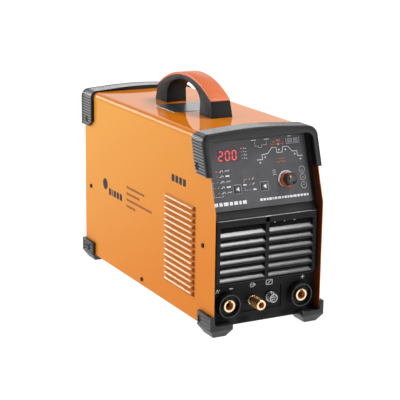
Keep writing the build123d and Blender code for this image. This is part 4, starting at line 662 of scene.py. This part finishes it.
def bumper_skin(name, bottom, lip, reach_y, sense, screw, solid_end=False):
    """Hoop with a plain rounded lip, square ribs behind it and a sunk screw seat on each side."""
    line = outer_line(bottom)
    total = sum((b - a).length for a, b in zip(line, line[1:]))
    ribs = round(total / RIB_PITCH)
    stations = [((rib + share) / ribs * total, sunk) for rib in range(ribs) for share, sunk in RIB_SHAPE]
    stations.append((total, 0.0))
    rows = []
    for reach, sunk in stations:
        place, normal = at_length(line, reach)
        opening = matching_point(reach, total, bottom, OPENING_X, OPENING_Z, OPENING_R)
        rounded = matching_point(reach, total, bottom, OPENING_X + MM, OPENING_Z + MM, OPENING_R)
        case = matching_point(reach, total, bottom, CASE_X + 0.1 * MM, TOP_Z + 0.1 * MM, FOLD_R)
        groove = place - normal * sunk * RIB_D
        row = [(opening, 14 * MM), (opening, MM), (rounded, 0), (place - normal * 2.4 * MM, 0),
               (place - normal * 0.7 * MM, 0.7 * MM), (place, 2.4 * MM), (place, LIP_BAND - 0.3 * MM),
               (groove, LIP_BAND + 0.5 * MM)]
        points = [Vector((point.x, lip(point.z) + sense * deep, point.z)) for point, deep in row]
        end = reach_y(place.z)
        edge = place if solid_end else groove
        points.append(Vector((groove.x, end - sense * 2.0 * MM, groove.z)))
        points.append(Vector((edge.x, end - sense * 1.2 * MM, edge.z)))
        points += [Vector((point.x, end, point.z)) for point in (edge - normal * 0.8 * MM, case)]
        rows.append(points + [points[0]])

    def paint(i, j):
        """Black lip with a satin inner edge, a painted highlight on the rib crests, and a black band at a
        solid end.
        """
        crest = stations[i][1] == 0 and stations[min(i + 1, len(stations) - 1)][1] == 0
        if j == CREST_CELL and crest:
            return CREST_HIGHLIGHT_SLOT
        black = j == 0 or 1 < j < 6 or (solid_end and j > CREST_CELL)
        return LIP_BLACK_SLOT if black else GROOVE_SLOT

    bm = bmesh.new()
    verts = lattice(bm, rows, paint=paint)
    for row in (verts[0], verts[-1]):
        bm.faces.new(row[:-1])
    tidy(bm)
    bmesh.ops.recalc_face_normals(bm, faces=bm.faces)
    piece = new_piece(name + "_skin", bm, rib_groove)
    piece.data.materials.append(lip_black)
    piece.data.materials.append(painted_crest_highlight)
    sink_screws(piece, screw)
    smooth(piece, 30)
    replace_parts(piece, name)


def sink_screws(piece, screw):
    """Cut a round seat for the screw into both sides of a bumper."""
    y, z = screw
    bm = bmesh.new()
    for side in (-1, 1):
        ring = [Vector((side * (GUARD_X - SEAT_DEPTH), y + SEAT_R * cos(turn), z + SEAT_R * sin(turn)))
                for turn in (2 * pi * step / 32 for step in range(32))]
        prism(bm, ring, RIGHT * side * 5 * MM)
    bmesh.ops.recalc_face_normals(bm, faces=bm.faces)
    cutter = add_object("cutter", bm)
    cut = piece.modifiers.new("seats", "BOOLEAN")
    cut.object = cutter
    cut.solver = "EXACT"
    settle(piece)
    bpy.data.objects.remove(cutter)


def front_lip(z):
    """Front edge of the front bumper, which leans back with the panel."""
    return FRONT_Y + (z - KNEE_Z) * tan(RAKE) - 2.2 * MM


def front_reach(z):
    """Rear edge of the front bumper: slanted off at the bottom and leaning back towards the top."""
    rise = (z - BASE_Z) / MM - FRONT_BUMPER_H
    if rise < 8:
        return FRONT_Y + (50 + rise * 7 / 8) * MM
    if rise < 47:
        return FRONT_Y + (57 + (rise - 8) * 11 / 39) * MM
    return FRONT_Y + (68 + (rise - 47) * 0.25) * MM


def rear_reach(z):
    """Front edge of the rear bumper: slanted off at the bottom and set back near the top."""
    rise = (z - BASE_Z) / MM - REAR_BUMPER_H
    if rise < 9:
        return REAR_Y - (25 + rise * 13 / 9) * MM
    return REAR_Y - (38 - min(1, max(0, (rise - 46) / 25)) * 8) * MM


# ------------------------------------------------------------------ rounded-off copies of the CAD pieces
for name, width in {"handle_frame": 1.0, "handle_grip": 2.0}.items():
    soften(name, width, mats[slot_of[name]], flatten=True)
for name, width in {
    "rear_panel": 0.5,
    "foot_front_left": 0.7, "foot_front_right": 0.7, "foot_rear_left": 0.7, "foot_rear_right": 0.7,
    "socket_housing_minus": 0.5, "socket_housing_plus": 0.5,
    "socket_insert_minus": 0.5, "socket_insert_plus": 0.5,
    "gas_outlet_body": 0.35, "gas_outlet_sleeve": 0.25, "torch_connector_shell": 0.3,
    "knob_cap": 0.4, "knob_skirt": 0.3,
    "button_left": 0.25, "button_right": 0.25, "power_switch_housing": 0.5, "power_rocker": 0.5,
    "cable_gland": 0.5, "gas_inlet_barb": 0.2,
}.items():
    soften(name, width, knurled_brass if name == "gas_outlet_sleeve" else mats[slot_of[name]])
bumper_skin("front_bumper", BASE_Z + FRONT_BUMPER_H * MM, front_lip, front_reach, 1,
            (FRONT_Y + 48 * MM, BASE_Z + 239 * MM))
bumper_skin("rear_bumper", BASE_Z + REAR_BUMPER_H * MM, lambda z: REAR_Y + 5.5 * MM, rear_reach, -1,
            (REAR_Y - 18 * MM, BASE_Z + 237 * MM), solid_end=True)
cover_skin()
front_panel_skin()
front_grille_skin()


# ------------------------------------------------------------------ flat print on a surface
class Sheet:
    """Collects flat printed shapes on a plane given by its origin, across, up and out directions."""

    def __init__(self, origin, across, up, out, lift=0.08):
        self.origin = origin + out * lift * MM
        self.across, self.up = across, up
        self.bm = bmesh.new()

    def point(self, x, y):
        return self.origin + self.across * x * MM + self.up * y * MM

    def face(self, points):
        verts = [self.bm.verts.new(self.point(x, y)) for x, y in points]
        self.bm.faces.new(verts)

    def bar(self, x0, y0, x1, y1):
        self.face([(x0, y0), (x1, y0), (x1, y1), (x0, y1)])

    def line(self, points, width, closed=False):
        """A drawn line of even width with square joints."""
        pts = [Vector(p) for p in points]
        if closed:
            pts.append(pts[0])
        for a, b in zip(pts, pts[1:]):
            along = (b - a).normalized() * width / 2
            side = Vector((-along.y, along.x))
            a, b = a - along, b + along
            self.face([a + side, a - side, b - side, b + side])

    def ring(self, x, y, radius, width, start=0.0, end=360.0, steps=40):
        """Part of a circle drawn as one band."""
        for i in range(steps):
            turns = [radians(start + (end - start) * k / steps) for k in (i, i + 1)]
            inner, outer = radius - width / 2, radius + width / 2
            self.face([(x + inner * cos(turns[0]), y + inner * sin(turns[0])),
                       (x + outer * cos(turns[0]), y + outer * sin(turns[0])),
                       (x + outer * cos(turns[1]), y + outer * sin(turns[1])),
                       (x + inner * cos(turns[1]), y + inner * sin(turns[1]))])

    def disc(self, x, y, radius, steps=20):
        turns = [2 * pi * k / steps for k in range(steps)]
        self.face([(x + radius * cos(turn), y + radius * sin(turn)) for turn in turns])

    def finish(self, name, mat, body="machine"):
        bmesh.ops.recalc_face_normals(self.bm, faces=self.bm.faces)
        new_piece(name, self.bm, mat, body)


def panel_sheet(lift=0.08):
    """A sheet of print on the raked control panel."""
    return Sheet(on_panel(0, 0), RIGHT, PANEL_UP, PANEL_OUT, lift)


WAVE = [(-2, 68), (7, 68), (7, 75.2), (17, 76), (24.8, 84), (32.5, 84), (32.8, 76), (41.8, 76), (44, 84),
        (52.7, 84), (59.6, 76), (67.3, 76), (67.8, 68.3), (75.8, 68.3)]
SEGMENTS = {"2": "abged", "0": "abcdef"}
BAR_ENDS = {
    "a": ((0, 2), (1, 2)), "b": ((1, 2), (1, 1)), "c": ((1, 1), (1, 0)), "d": ((0, 0), (1, 0)),
    "e": ((0, 1), (0, 0)), "f": ((0, 2), (0, 1)), "g": ((0, 1), (1, 1)),
}
DIGIT_W = 6.2
DIGIT_H = 6.6
SLANT = 0.09
DIGIT_PITCH = 11.3
DIGIT_START = (-66.0, 72.2)
SEGMENT_W = 1.6
LAMP_R, LAMP_H = 0.95, 0.8
LIT_LEDS = [(-27.0, 87.5), (-72.7, 57.0), (-20.0, 41.4)]
DARK_LEDS = [(-27.0, 82.6), (-27.0, 77.8), (-27.0, 72.8), (-72.7, 49.4), (-72.7, 41.3), (-72.7, 33.3),
             (-72.7, 25.4), (-20.0, 33.8), (-20.0, 25.8)]
BUTTONS = {"left_button": (-41.5, 28.4), "right_button": (4.2, 28.6)}


def segment(sheet, start, end, width):
    """One pointed bar of a seven-segment digit."""
    a, b = Vector(start), Vector(end)
    along = (b - a).normalized()
    side = Vector((-along.y, along.x)) * width / 2
    a, b = a + along * 0.35, b - along * 0.35
    tip = along * width / 2
    sheet.face([a, a + tip + side, b - tip + side, b, b - tip - side, a + tip - side])


def digits():
    """The figure 200 in glowing segments, with the unlit segments faintly visible."""
    lit, unlit = panel_sheet(0.14), panel_sheet(0.10)
    for place, figure in enumerate("200"):
        x = DIGIT_START[0] + place * DIGIT_PITCH
        for name, ends in BAR_ENDS.items():
            points = [(x + u * DIGIT_W + v * DIGIT_H * SLANT, DIGIT_START[1] + v * DIGIT_H) for u, v in ends]
            segment(lit if name in SEGMENTS[figure] else unlit, *points, SEGMENT_W)
    lit.finish("display_digits", red_glow)
    unlit.finish("display_unlit_segments", dim_segment)


def dome(bm, x, up, radius, height, steps=20, rings=5):
    """Rounded lens on the control panel, closed underneath."""
    rows = []
    for ring in range(rings + 1):
        turn = pi / 2 * ring / rings
        reach, out = radius * cos(turn), height * sin(turn) - 0.2
        rows.append([on_panel(x + reach * cos(2 * pi * k / steps), up + reach * sin(2 * pi * k / steps), out)
                     for k in range(steps + 1)])
    lattice(bm, rows)
    bm.faces.new([bm.verts.new(point) for point in rows[0][:-1]])


def lamps(name, places, mat):
    """A set of rounded lenses in one piece."""
    bm = bmesh.new()
    for x, up in places:
        dome(bm, x, up, LAMP_R, LAMP_H)
    tidy(bm)
    bmesh.ops.recalc_face_normals(bm, faces=bm.faces)
    piece = new_piece(name, bm, mat)
    smooth(piece)
    return piece


def wave_marks(sheet):
    """Current curve over a weld, with ticks, brackets and small pictograms beside the lamps."""
    sheet.line(WAVE, 0.85)
    for x, up in [(2.5, 63.5), (12, 71), (36.8, 80.2), (36.8, 88.5), (63, 71.5), (72, 63.5), (48, 79.6)]:
        sheet.bar(x - 1.4, up - 0.5, x + 1.4, up + 0.5)
        sheet.bar(x - 0.5, up - 1.5, x + 0.5, up + 1.5)
    sheet.line([(-8, 97.5), (-1, 97.5)], 1.1)
    sheet.line([(14, 97.5), (21, 97.5)], 1.1)
    sheet.line([(-3, 94), (-3, 88.5), (3, 88.5), (3, 86), (8, 86), (8, 89.5), (17, 89.5), (17, 94)], 0.45)
    sheet.line([(55, 99), (60, 99)], 1.0)
    for x in (54, 64):
        sheet.line([(x, 90), (x, 95), (x + 6.5, 95), (x + 6.5, 90), (x, 90)], 0.5)
        sheet.line([(x + 1.5, 91.5), (x + 3.2, 93.5), (x + 5, 91.5)], 0.5)
    sheet.line([(51, 97), (51, 88), (73.5, 88), (73.5, 97)], 0.35)


def lamp_marks(sheet):
    """Pictograms beside each lamp: pulse, ramp and step shapes, with brackets to the buttons."""
    for up in (87.5, 82.6, 77.8, 72.8):
        sheet.bar(-23.4, up - 0.9, -22.3, up + 0.9)
        sheet.bar(-20.9, up - 0.9, -18.4, up - 0.1)
    for row, up in enumerate((57.0, 49.4, 41.3, 33.3, 25.4)):
        sheet.line([(-68, up - 1), (-66, up - 1), (-65, up + 1), (-63, up + 1), (-62, up - 1)], 0.75)
        if row % 2:
            sheet.bar(-58.5, up - 1.1, -52, up + 1.1)
        else:
            sheet.line([(-58.5, up - 0.6), (-56, up + 0.8), (-54, up - 0.6), (-51.5, up + 0.8)], 0.7)
    sheet.line([(-78, 41.3), (-81, 41.3), (-81, 20), (-66, 20), (-66, 21.5)], 0.35)
    sheet.line([(-77, 33.3), (-79, 33.3)], 0.35)
    for up in (41.4, 33.8, 25.8):
        sheet.line([(-15.5, up - 1), (-13.8, up + 1), (-12, up + 1)], 0.7)
    sheet.bar(-31, 32.8, -25.5, 34.6)
    sheet.line([(-24, 41.4), (-29, 41.4), (-29, 37)], 0.35)
    sheet.line([(-29, 30), (-29, 25.8), (-24, 25.8)], 0.35)
    sheet.bar(-15.4, 24.8, -9.5, 26.3)


def button_frames(sheet):
    """Pale rounded outline around each button."""
    for x, up in BUTTONS.values():
        size, round_off = 6.7, 1.8
        corners = []
        for turn, (sx, sy) in enumerate([(1, 1), (-1, 1), (-1, -1), (1, -1)]):
            for step in range(4):
                angle = radians(90 * turn + 30 * step)
                corners.append((x + sx * (size - round_off) + round_off * cos(angle),
                                up + sy * (size - round_off) + round_off * sin(angle)))
        sheet.line(corners, 0.9, closed=True)


def knob_marks(sheet):
    """Small marks beside the knob and the three ringed marks at the right edge."""
    for row in range(3):
        sheet.line([(21.5, 50 - row * 3.2), (24, 51 - row * 3.2), (26.5, 50 - row * 3.2)], 0.55)
    for mark, up in enumerate((47.5, 36.0, 24.0)):
        sheet.ring(72, up, 4.7, 0.4)
        sheet.line([(70.6, up - 1.4 + mark), (73.4, up - 1.4 + mark)], 0.45)


def blocks(sheet, x0, x1, y0, y1, widths, gap):
    """A row of plain blocks that stands where a name would be."""
    scale = (x1 - x0 - gap * (len(widths) - 1)) / sum(widths)
    x = x0
    for width in widths:
        sheet.bar(x, y0, x + width * scale, y1)
        x += width * scale + gap


def orange_marks(sheet):
    """Orange dimension arrows over and under the middle of the curve."""
    sheet.line([(24, 88.8), (45, 88.8)], 0.6)
    sheet.line([(24, 91), (24, 86)], 0.5)
    sheet.line([(45, 91), (45, 86)], 0.5)
    sheet.bar(27, 91.5, 31, 93.2)
    sheet.bar(34, 92.5, 40.5, 95.5)
    sheet.line([(33, 67), (45, 67)], 0.6)
    sheet.line([(31, 61.8), (35, 61.8)], 0.9)
    sheet.line([(38, 63.5), (42, 61), (45, 63.5)], 0.8)
    sheet.bar(28.5, 83.2, 31, 84.8)


KNOB_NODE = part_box("knob_skirt")
KNOB_CENTRE = (KNOB_NODE[0] + KNOB_NODE[1]) / 2 - PANEL_ORIGIN
KNOB = (KNOB_CENTRE.x / MM, KNOB_CENTRE.dot(PANEL_UP) / MM)
KNOB_R = (KNOB_NODE[1].x - KNOB_NODE[0].x) / 2 / MM
CAP_R = 9.2
LOBE_COUNT, LOBE_OUT, LOBE_H = 6, 6.3, 3.2

white, faint = panel_sheet(), panel_sheet(0.09)
wave_marks(white)
lamp_marks(white)
button_frames(faint)
knob_marks(white)
blocks(white, -83, -29, 6.3, 11.4, [5, 4, 6, 4, 5, 3, 5], 2.2)
blocks(white, -6, 78, 7.6, 11.0, [3, 3, 2, 3, 1.5, 3, 4, 2, 3, 2, 3, 4, 3, 3, 3, 2], 1.3)
white.finish("panel_print_white", white_ink)
faint.finish("panel_print_grey", grey_ink)
warm = panel_sheet()
orange_marks(warm)
warm.finish("panel_print_orange", orange_ink)
digits()
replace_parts(lamps("led_lenses_lit", LIT_LEDS, lamp_red), "indicator_leds")
lamps("led_lenses_dark", DARK_LEDS, lamp_clear)
for body, (x, up) in BUTTONS.items():
    mark = panel_sheet(1.9)
    mark.face([(x - 3.2, up), (x + 2.0, up + 3.2), (x + 2.0, up - 3.2)])
    mark.finish(body + "_mark", white_ink, body)


# ------------------------------------------------------------------ knob details
def knob_details():
    """White crescent scale, black lobes that grip the orange skirt, a wide cap and its pale pointer dot."""
    x, up = KNOB
    crescent = panel_sheet()
    for start, end, width in [(-20, 232, 0.8), (10, 214, 1.8), (45, 188, 2.9)]:
        crescent.ring(x, up, KNOB_R + 0.5 + width / 2, width, start, end, 36)
    crescent.finish("knob_crescent", white_ink)
    bm = bmesh.new()
    outline = []
    for step in range(96):
        turn = 2 * pi * step / 96
        reach = KNOB_R - 1.7 + 1.4 * max(-1, min(1, 1.6 * cos(LOBE_COUNT * turn)))
        outline.append(on_panel(x + reach * cos(turn), up + reach * sin(turn), LOBE_OUT))
    prism(bm, outline, PANEL_OUT * LOBE_H * MM)
    bmesh.ops.recalc_face_normals(bm, faces=bm.faces)
    smooth(new_piece("knob_lobes", bm, mats["knob_black"], "knob"))
    cap_verts = nodes["knob_cap"].data.vertices
    cap_top = max((vertex.co - PANEL_ORIGIN).dot(PANEL_OUT) for vertex in cap_verts) / MM
    profile = [(CAP_R + 0.3, 6.4), (CAP_R, cap_top - 0.7),
               (CAP_R - 0.6, cap_top - 0.1), (CAP_R - 1.4, cap_top)]
    rings = [[on_panel(x + radius * cos(turn), up + radius * sin(turn), out) for radius, out in profile]
             for turn in (2 * pi * step / 48 for step in range(49))]
    bm = bmesh.new()
    lattice(bm, rings)
    bm.faces.new([bm.verts.new(ring[-1]) for ring in rings[:-1]])
    tidy(bm)
    bmesh.ops.recalc_face_normals(bm, faces=bm.faces)
    cap = new_piece("knob_cap_skin", bm, mats["knob_black"], "knob")
    smooth(cap, 30)
    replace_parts(cap, "knob_cap")
    dot = panel_sheet(cap_top + 0.05)
    dot.disc(x - 2.6, up + 3.6, 1.4)
    dot.finish("knob_pointer", pale_orange_ink, "knob")


knob_details()


# ------------------------------------------------------------------ bores of the sockets and the gas coupler
def bore(name, node, radius, depth, body="machine", steps=40):
    """Inner wall and floor of a bore, seen from its mouth at the front of a node."""
    low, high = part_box(node)
    centre = (low + high) / 2
    rows = [[Vector((centre.x + radius * cos(turn), low.y + deep, centre.z + radius * sin(turn)))
             for turn in (2 * pi * step / steps for step in range(steps + 1))] for deep in (0.4 * MM, depth)]
    bm = bmesh.new()
    lattice(bm, rows, flip=True)
    bm.faces.new([bm.verts.new(point) for point in rows[-1][:-1]])
    tidy(bm)
    smooth(new_piece(name, bm, bore_brass, body))


def painted_rim_highlight(name, node, radius):
    """Painted highlight: a fine pale ring round the mouth of a socket."""
    low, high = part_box(node)
    sheet = Sheet(Vector(((low.x + high.x) / 2, low.y - 0.05 * MM, (low.z + high.z) / 2)), RIGHT, UP, FORWARD)
    sheet.ring(0, 0, radius, 0.35)
    sheet.finish(name, rim_highlight_ink)


SOCKET_EDGE_R = 17.3
SOCKET_BORE = (6.45 * MM, 24.8 * MM)
GAS_BORE = (4.65 * MM, 19.8 * MM)
# painted highlights round the socket mouths
painted_rim_highlight("socket_edge_highlight_minus", "socket_housing_minus", SOCKET_EDGE_R)
painted_rim_highlight("socket_edge_highlight_plus", "socket_housing_plus", SOCKET_EDGE_R)
bore("socket_bore_minus", "socket_insert_minus", *SOCKET_BORE)
bore("socket_bore_plus", "socket_insert_plus", *SOCKET_BORE)
bore("gas_outlet_bore", "gas_outlet_body", *GAS_BORE)


# ------------------------------------------------------------------ marks by the sockets
lower = Sheet(Vector((0, FACE_Y, BASE_Z)), RIGHT, UP, FORWARD)
lower.bar(-56, 54.4, -50, 55.8)
lower.bar(68, 56.3, 74, 57.7)
lower.bar(70.3, 54, 71.7, 60)
lower.line([(-79, 51), (-76.5, 57), (-75, 51.5), (-72.5, 56)], 0.8)
lower.ring(-17.4, 56, 3.3, 0.7)
lower.line([(-19, 56), (-12, 56)], 0.7)
lower.line([(-13.5, 57.6), (-11.6, 56), (-13.5, 54.4)], 0.7)
lower.line([(7, 53), (7, 60), (17.4, 60), (17.4, 53)], 0.8, closed=True)
lower.line([(9.4, 54.8), (15, 58.6)], 0.7)
lower.finish("socket_marks", white_ink)


# ------------------------------------------------------------------ plain marks on the side walls
def side_marks(side):
    """Blocks and thin bars in place of names: y counts back from the front edge, z from the case bottom."""
    hand = "left" if side < 0 else "right"
    origin = Vector((side * CASE_X, FRONT_Y, BASE_Z))
    dark = Sheet(origin, -FORWARD, UP, RIGHT * side)
    dark.disc(386, 137, 9.5, 40)
    blocks(dark, 319, 371, 122, 133, [4, 4, 4, 1.5, 4], 3.0)
    blocks(dark, 92, 139, 197, 208, [4, 4, 4, 4], 3.0)
    dark.finish("side_mark_" + hand, dark_ink)
    thin = Sheet(origin, -FORWARD, UP, RIGHT * side)
    for z, near in ((150.5, 235), (140, 253), (129.5, 208), (119, 268)):
        count = round((301 - near) / 6)
        blocks(thin, near, 301, z - 2.0, z + 2.0, [1] * count, 1.6)
    thin.finish("side_notes_" + hand, brown_ink)


side_marks(-1)
side_marks(1)

# ------------------------------------------------------------------ camera
TARGET = Vector((-117.031, FRONT_Y / MM, 201.733 + BASE_Z / MM)) * MM
AZIMUTH, ELEVATION, ROLL = radians(-28.114), radians(14.465), radians(0.807)
DISTANCE = 1878.92 * MM
back = Vector((sin(AZIMUTH) * cos(ELEVATION), -cos(AZIMUTH) * cos(ELEVATION), sin(ELEVATION)))
right = Vector((cos(AZIMUTH), sin(AZIMUTH), 0))
up = back.cross(right)
cam_x = right * cos(ROLL) + up * sin(ROLL)
cam_y = up * cos(ROLL) - right * sin(ROLL)
camera = add_object("camera", bpy.data.cameras.new("camera"))
camera.data.sensor_width = 36.0
camera.data.lens = 119.364
aim = Matrix((cam_x, cam_y, back)).transposed().to_4x4()
camera.matrix_world = Matrix.Translation(TARGET + back * DISTANCE) @ aim
bpy.context.scene.camera = camera


# ------------------------------------------------------------------ studio
def area_light(name, place, size, power, target=(0, 0, 0.17)):
    """A rectangular lamp that faces the object."""
    data = bpy.data.lights.new(name, "AREA")
    data.shape = "RECTANGLE"
    data.size, data.size_y = size
    data.energy = power
    lamp = add_object(name, data)
    lamp.location = place
    lamp.rotation_mode = "QUATERNION"
    lamp.rotation_quaternion = (Vector(target) - Vector(place)).to_track_quat("-Z", "Y")


area_light("overhead strip", (1.0, -0.65, 1.9), (1.2, 0.6), 34)
area_light("front fill", (1.05, -1.93, 0.85), (0.8, 0.5), 10)
area_light("left fill", (-2.4, 0.6, 1.0), (0.8, 0.8), 14)
area_light("rear left strip", (-1.2, 2.55, 1.17), (1.2, 0.8), 26)


def studio_world():
    """White walls up to about 20 degrees, a greyer ceiling, and a dimmer room in front of the object."""
    world = bpy.data.worlds.new("studio")
    world.use_nodes = True
    tree = world.node_tree
    coord = tree.nodes.new("ShaderNodeTexCoord")
    split = tree.nodes.new("ShaderNodeSeparateXYZ")
    tree.links.new(coord.outputs["Generated"], split.inputs["Vector"])
    ceiling = tree.nodes.new("ShaderNodeValToRGB")
    wall, top = ceiling.color_ramp.elements
    wall.position, top.position = 0.33, 0.48
    wall.color, top.color = (1, 1, 1, 1), (0.36, 0.36, 0.36, 1)
    tree.links.new(split.outputs["Z"], ceiling.inputs["Fac"])
    front = tree.nodes.new("ShaderNodeMapRange")
    front.inputs["From Min"].default_value = -0.5
    front.inputs["From Max"].default_value = 0.1
    front.inputs["To Min"].default_value = 0.4
    front.inputs["To Max"].default_value = 1.0
    tree.links.new(split.outputs["Y"], front.inputs["Value"])
    mix = tree.nodes.new("ShaderNodeMix")
    mix.data_type = "RGBA"
    mix.blend_type = "MULTIPLY"
    mix.inputs["Factor"].default_value = 1.0
    tree.links.new(ceiling.outputs["Color"], mix.inputs["A"])
    tree.links.new(front.outputs["Result"], mix.inputs["B"])
    tree.links.new(mix.outputs["Result"], tree.nodes["Background"].inputs["Color"])
    bpy.context.scene.world = world


studio_world()
bpy.context.scene.view_settings.view_transform = "Standard"

floor_bm = bmesh.new()
bmesh.ops.create_grid(floor_bm, x_segments=8, y_segments=8, size=6)
floor = add_object("floor", floor_bm)
floor_paint = moulded("floor", (0.30, 0.30, 0.30), 0.7, spread=0.01, emission_strength=0.94)
glow_colour(floor_paint, (1, 1, 1))
floor.data.materials.append(floor_paint)
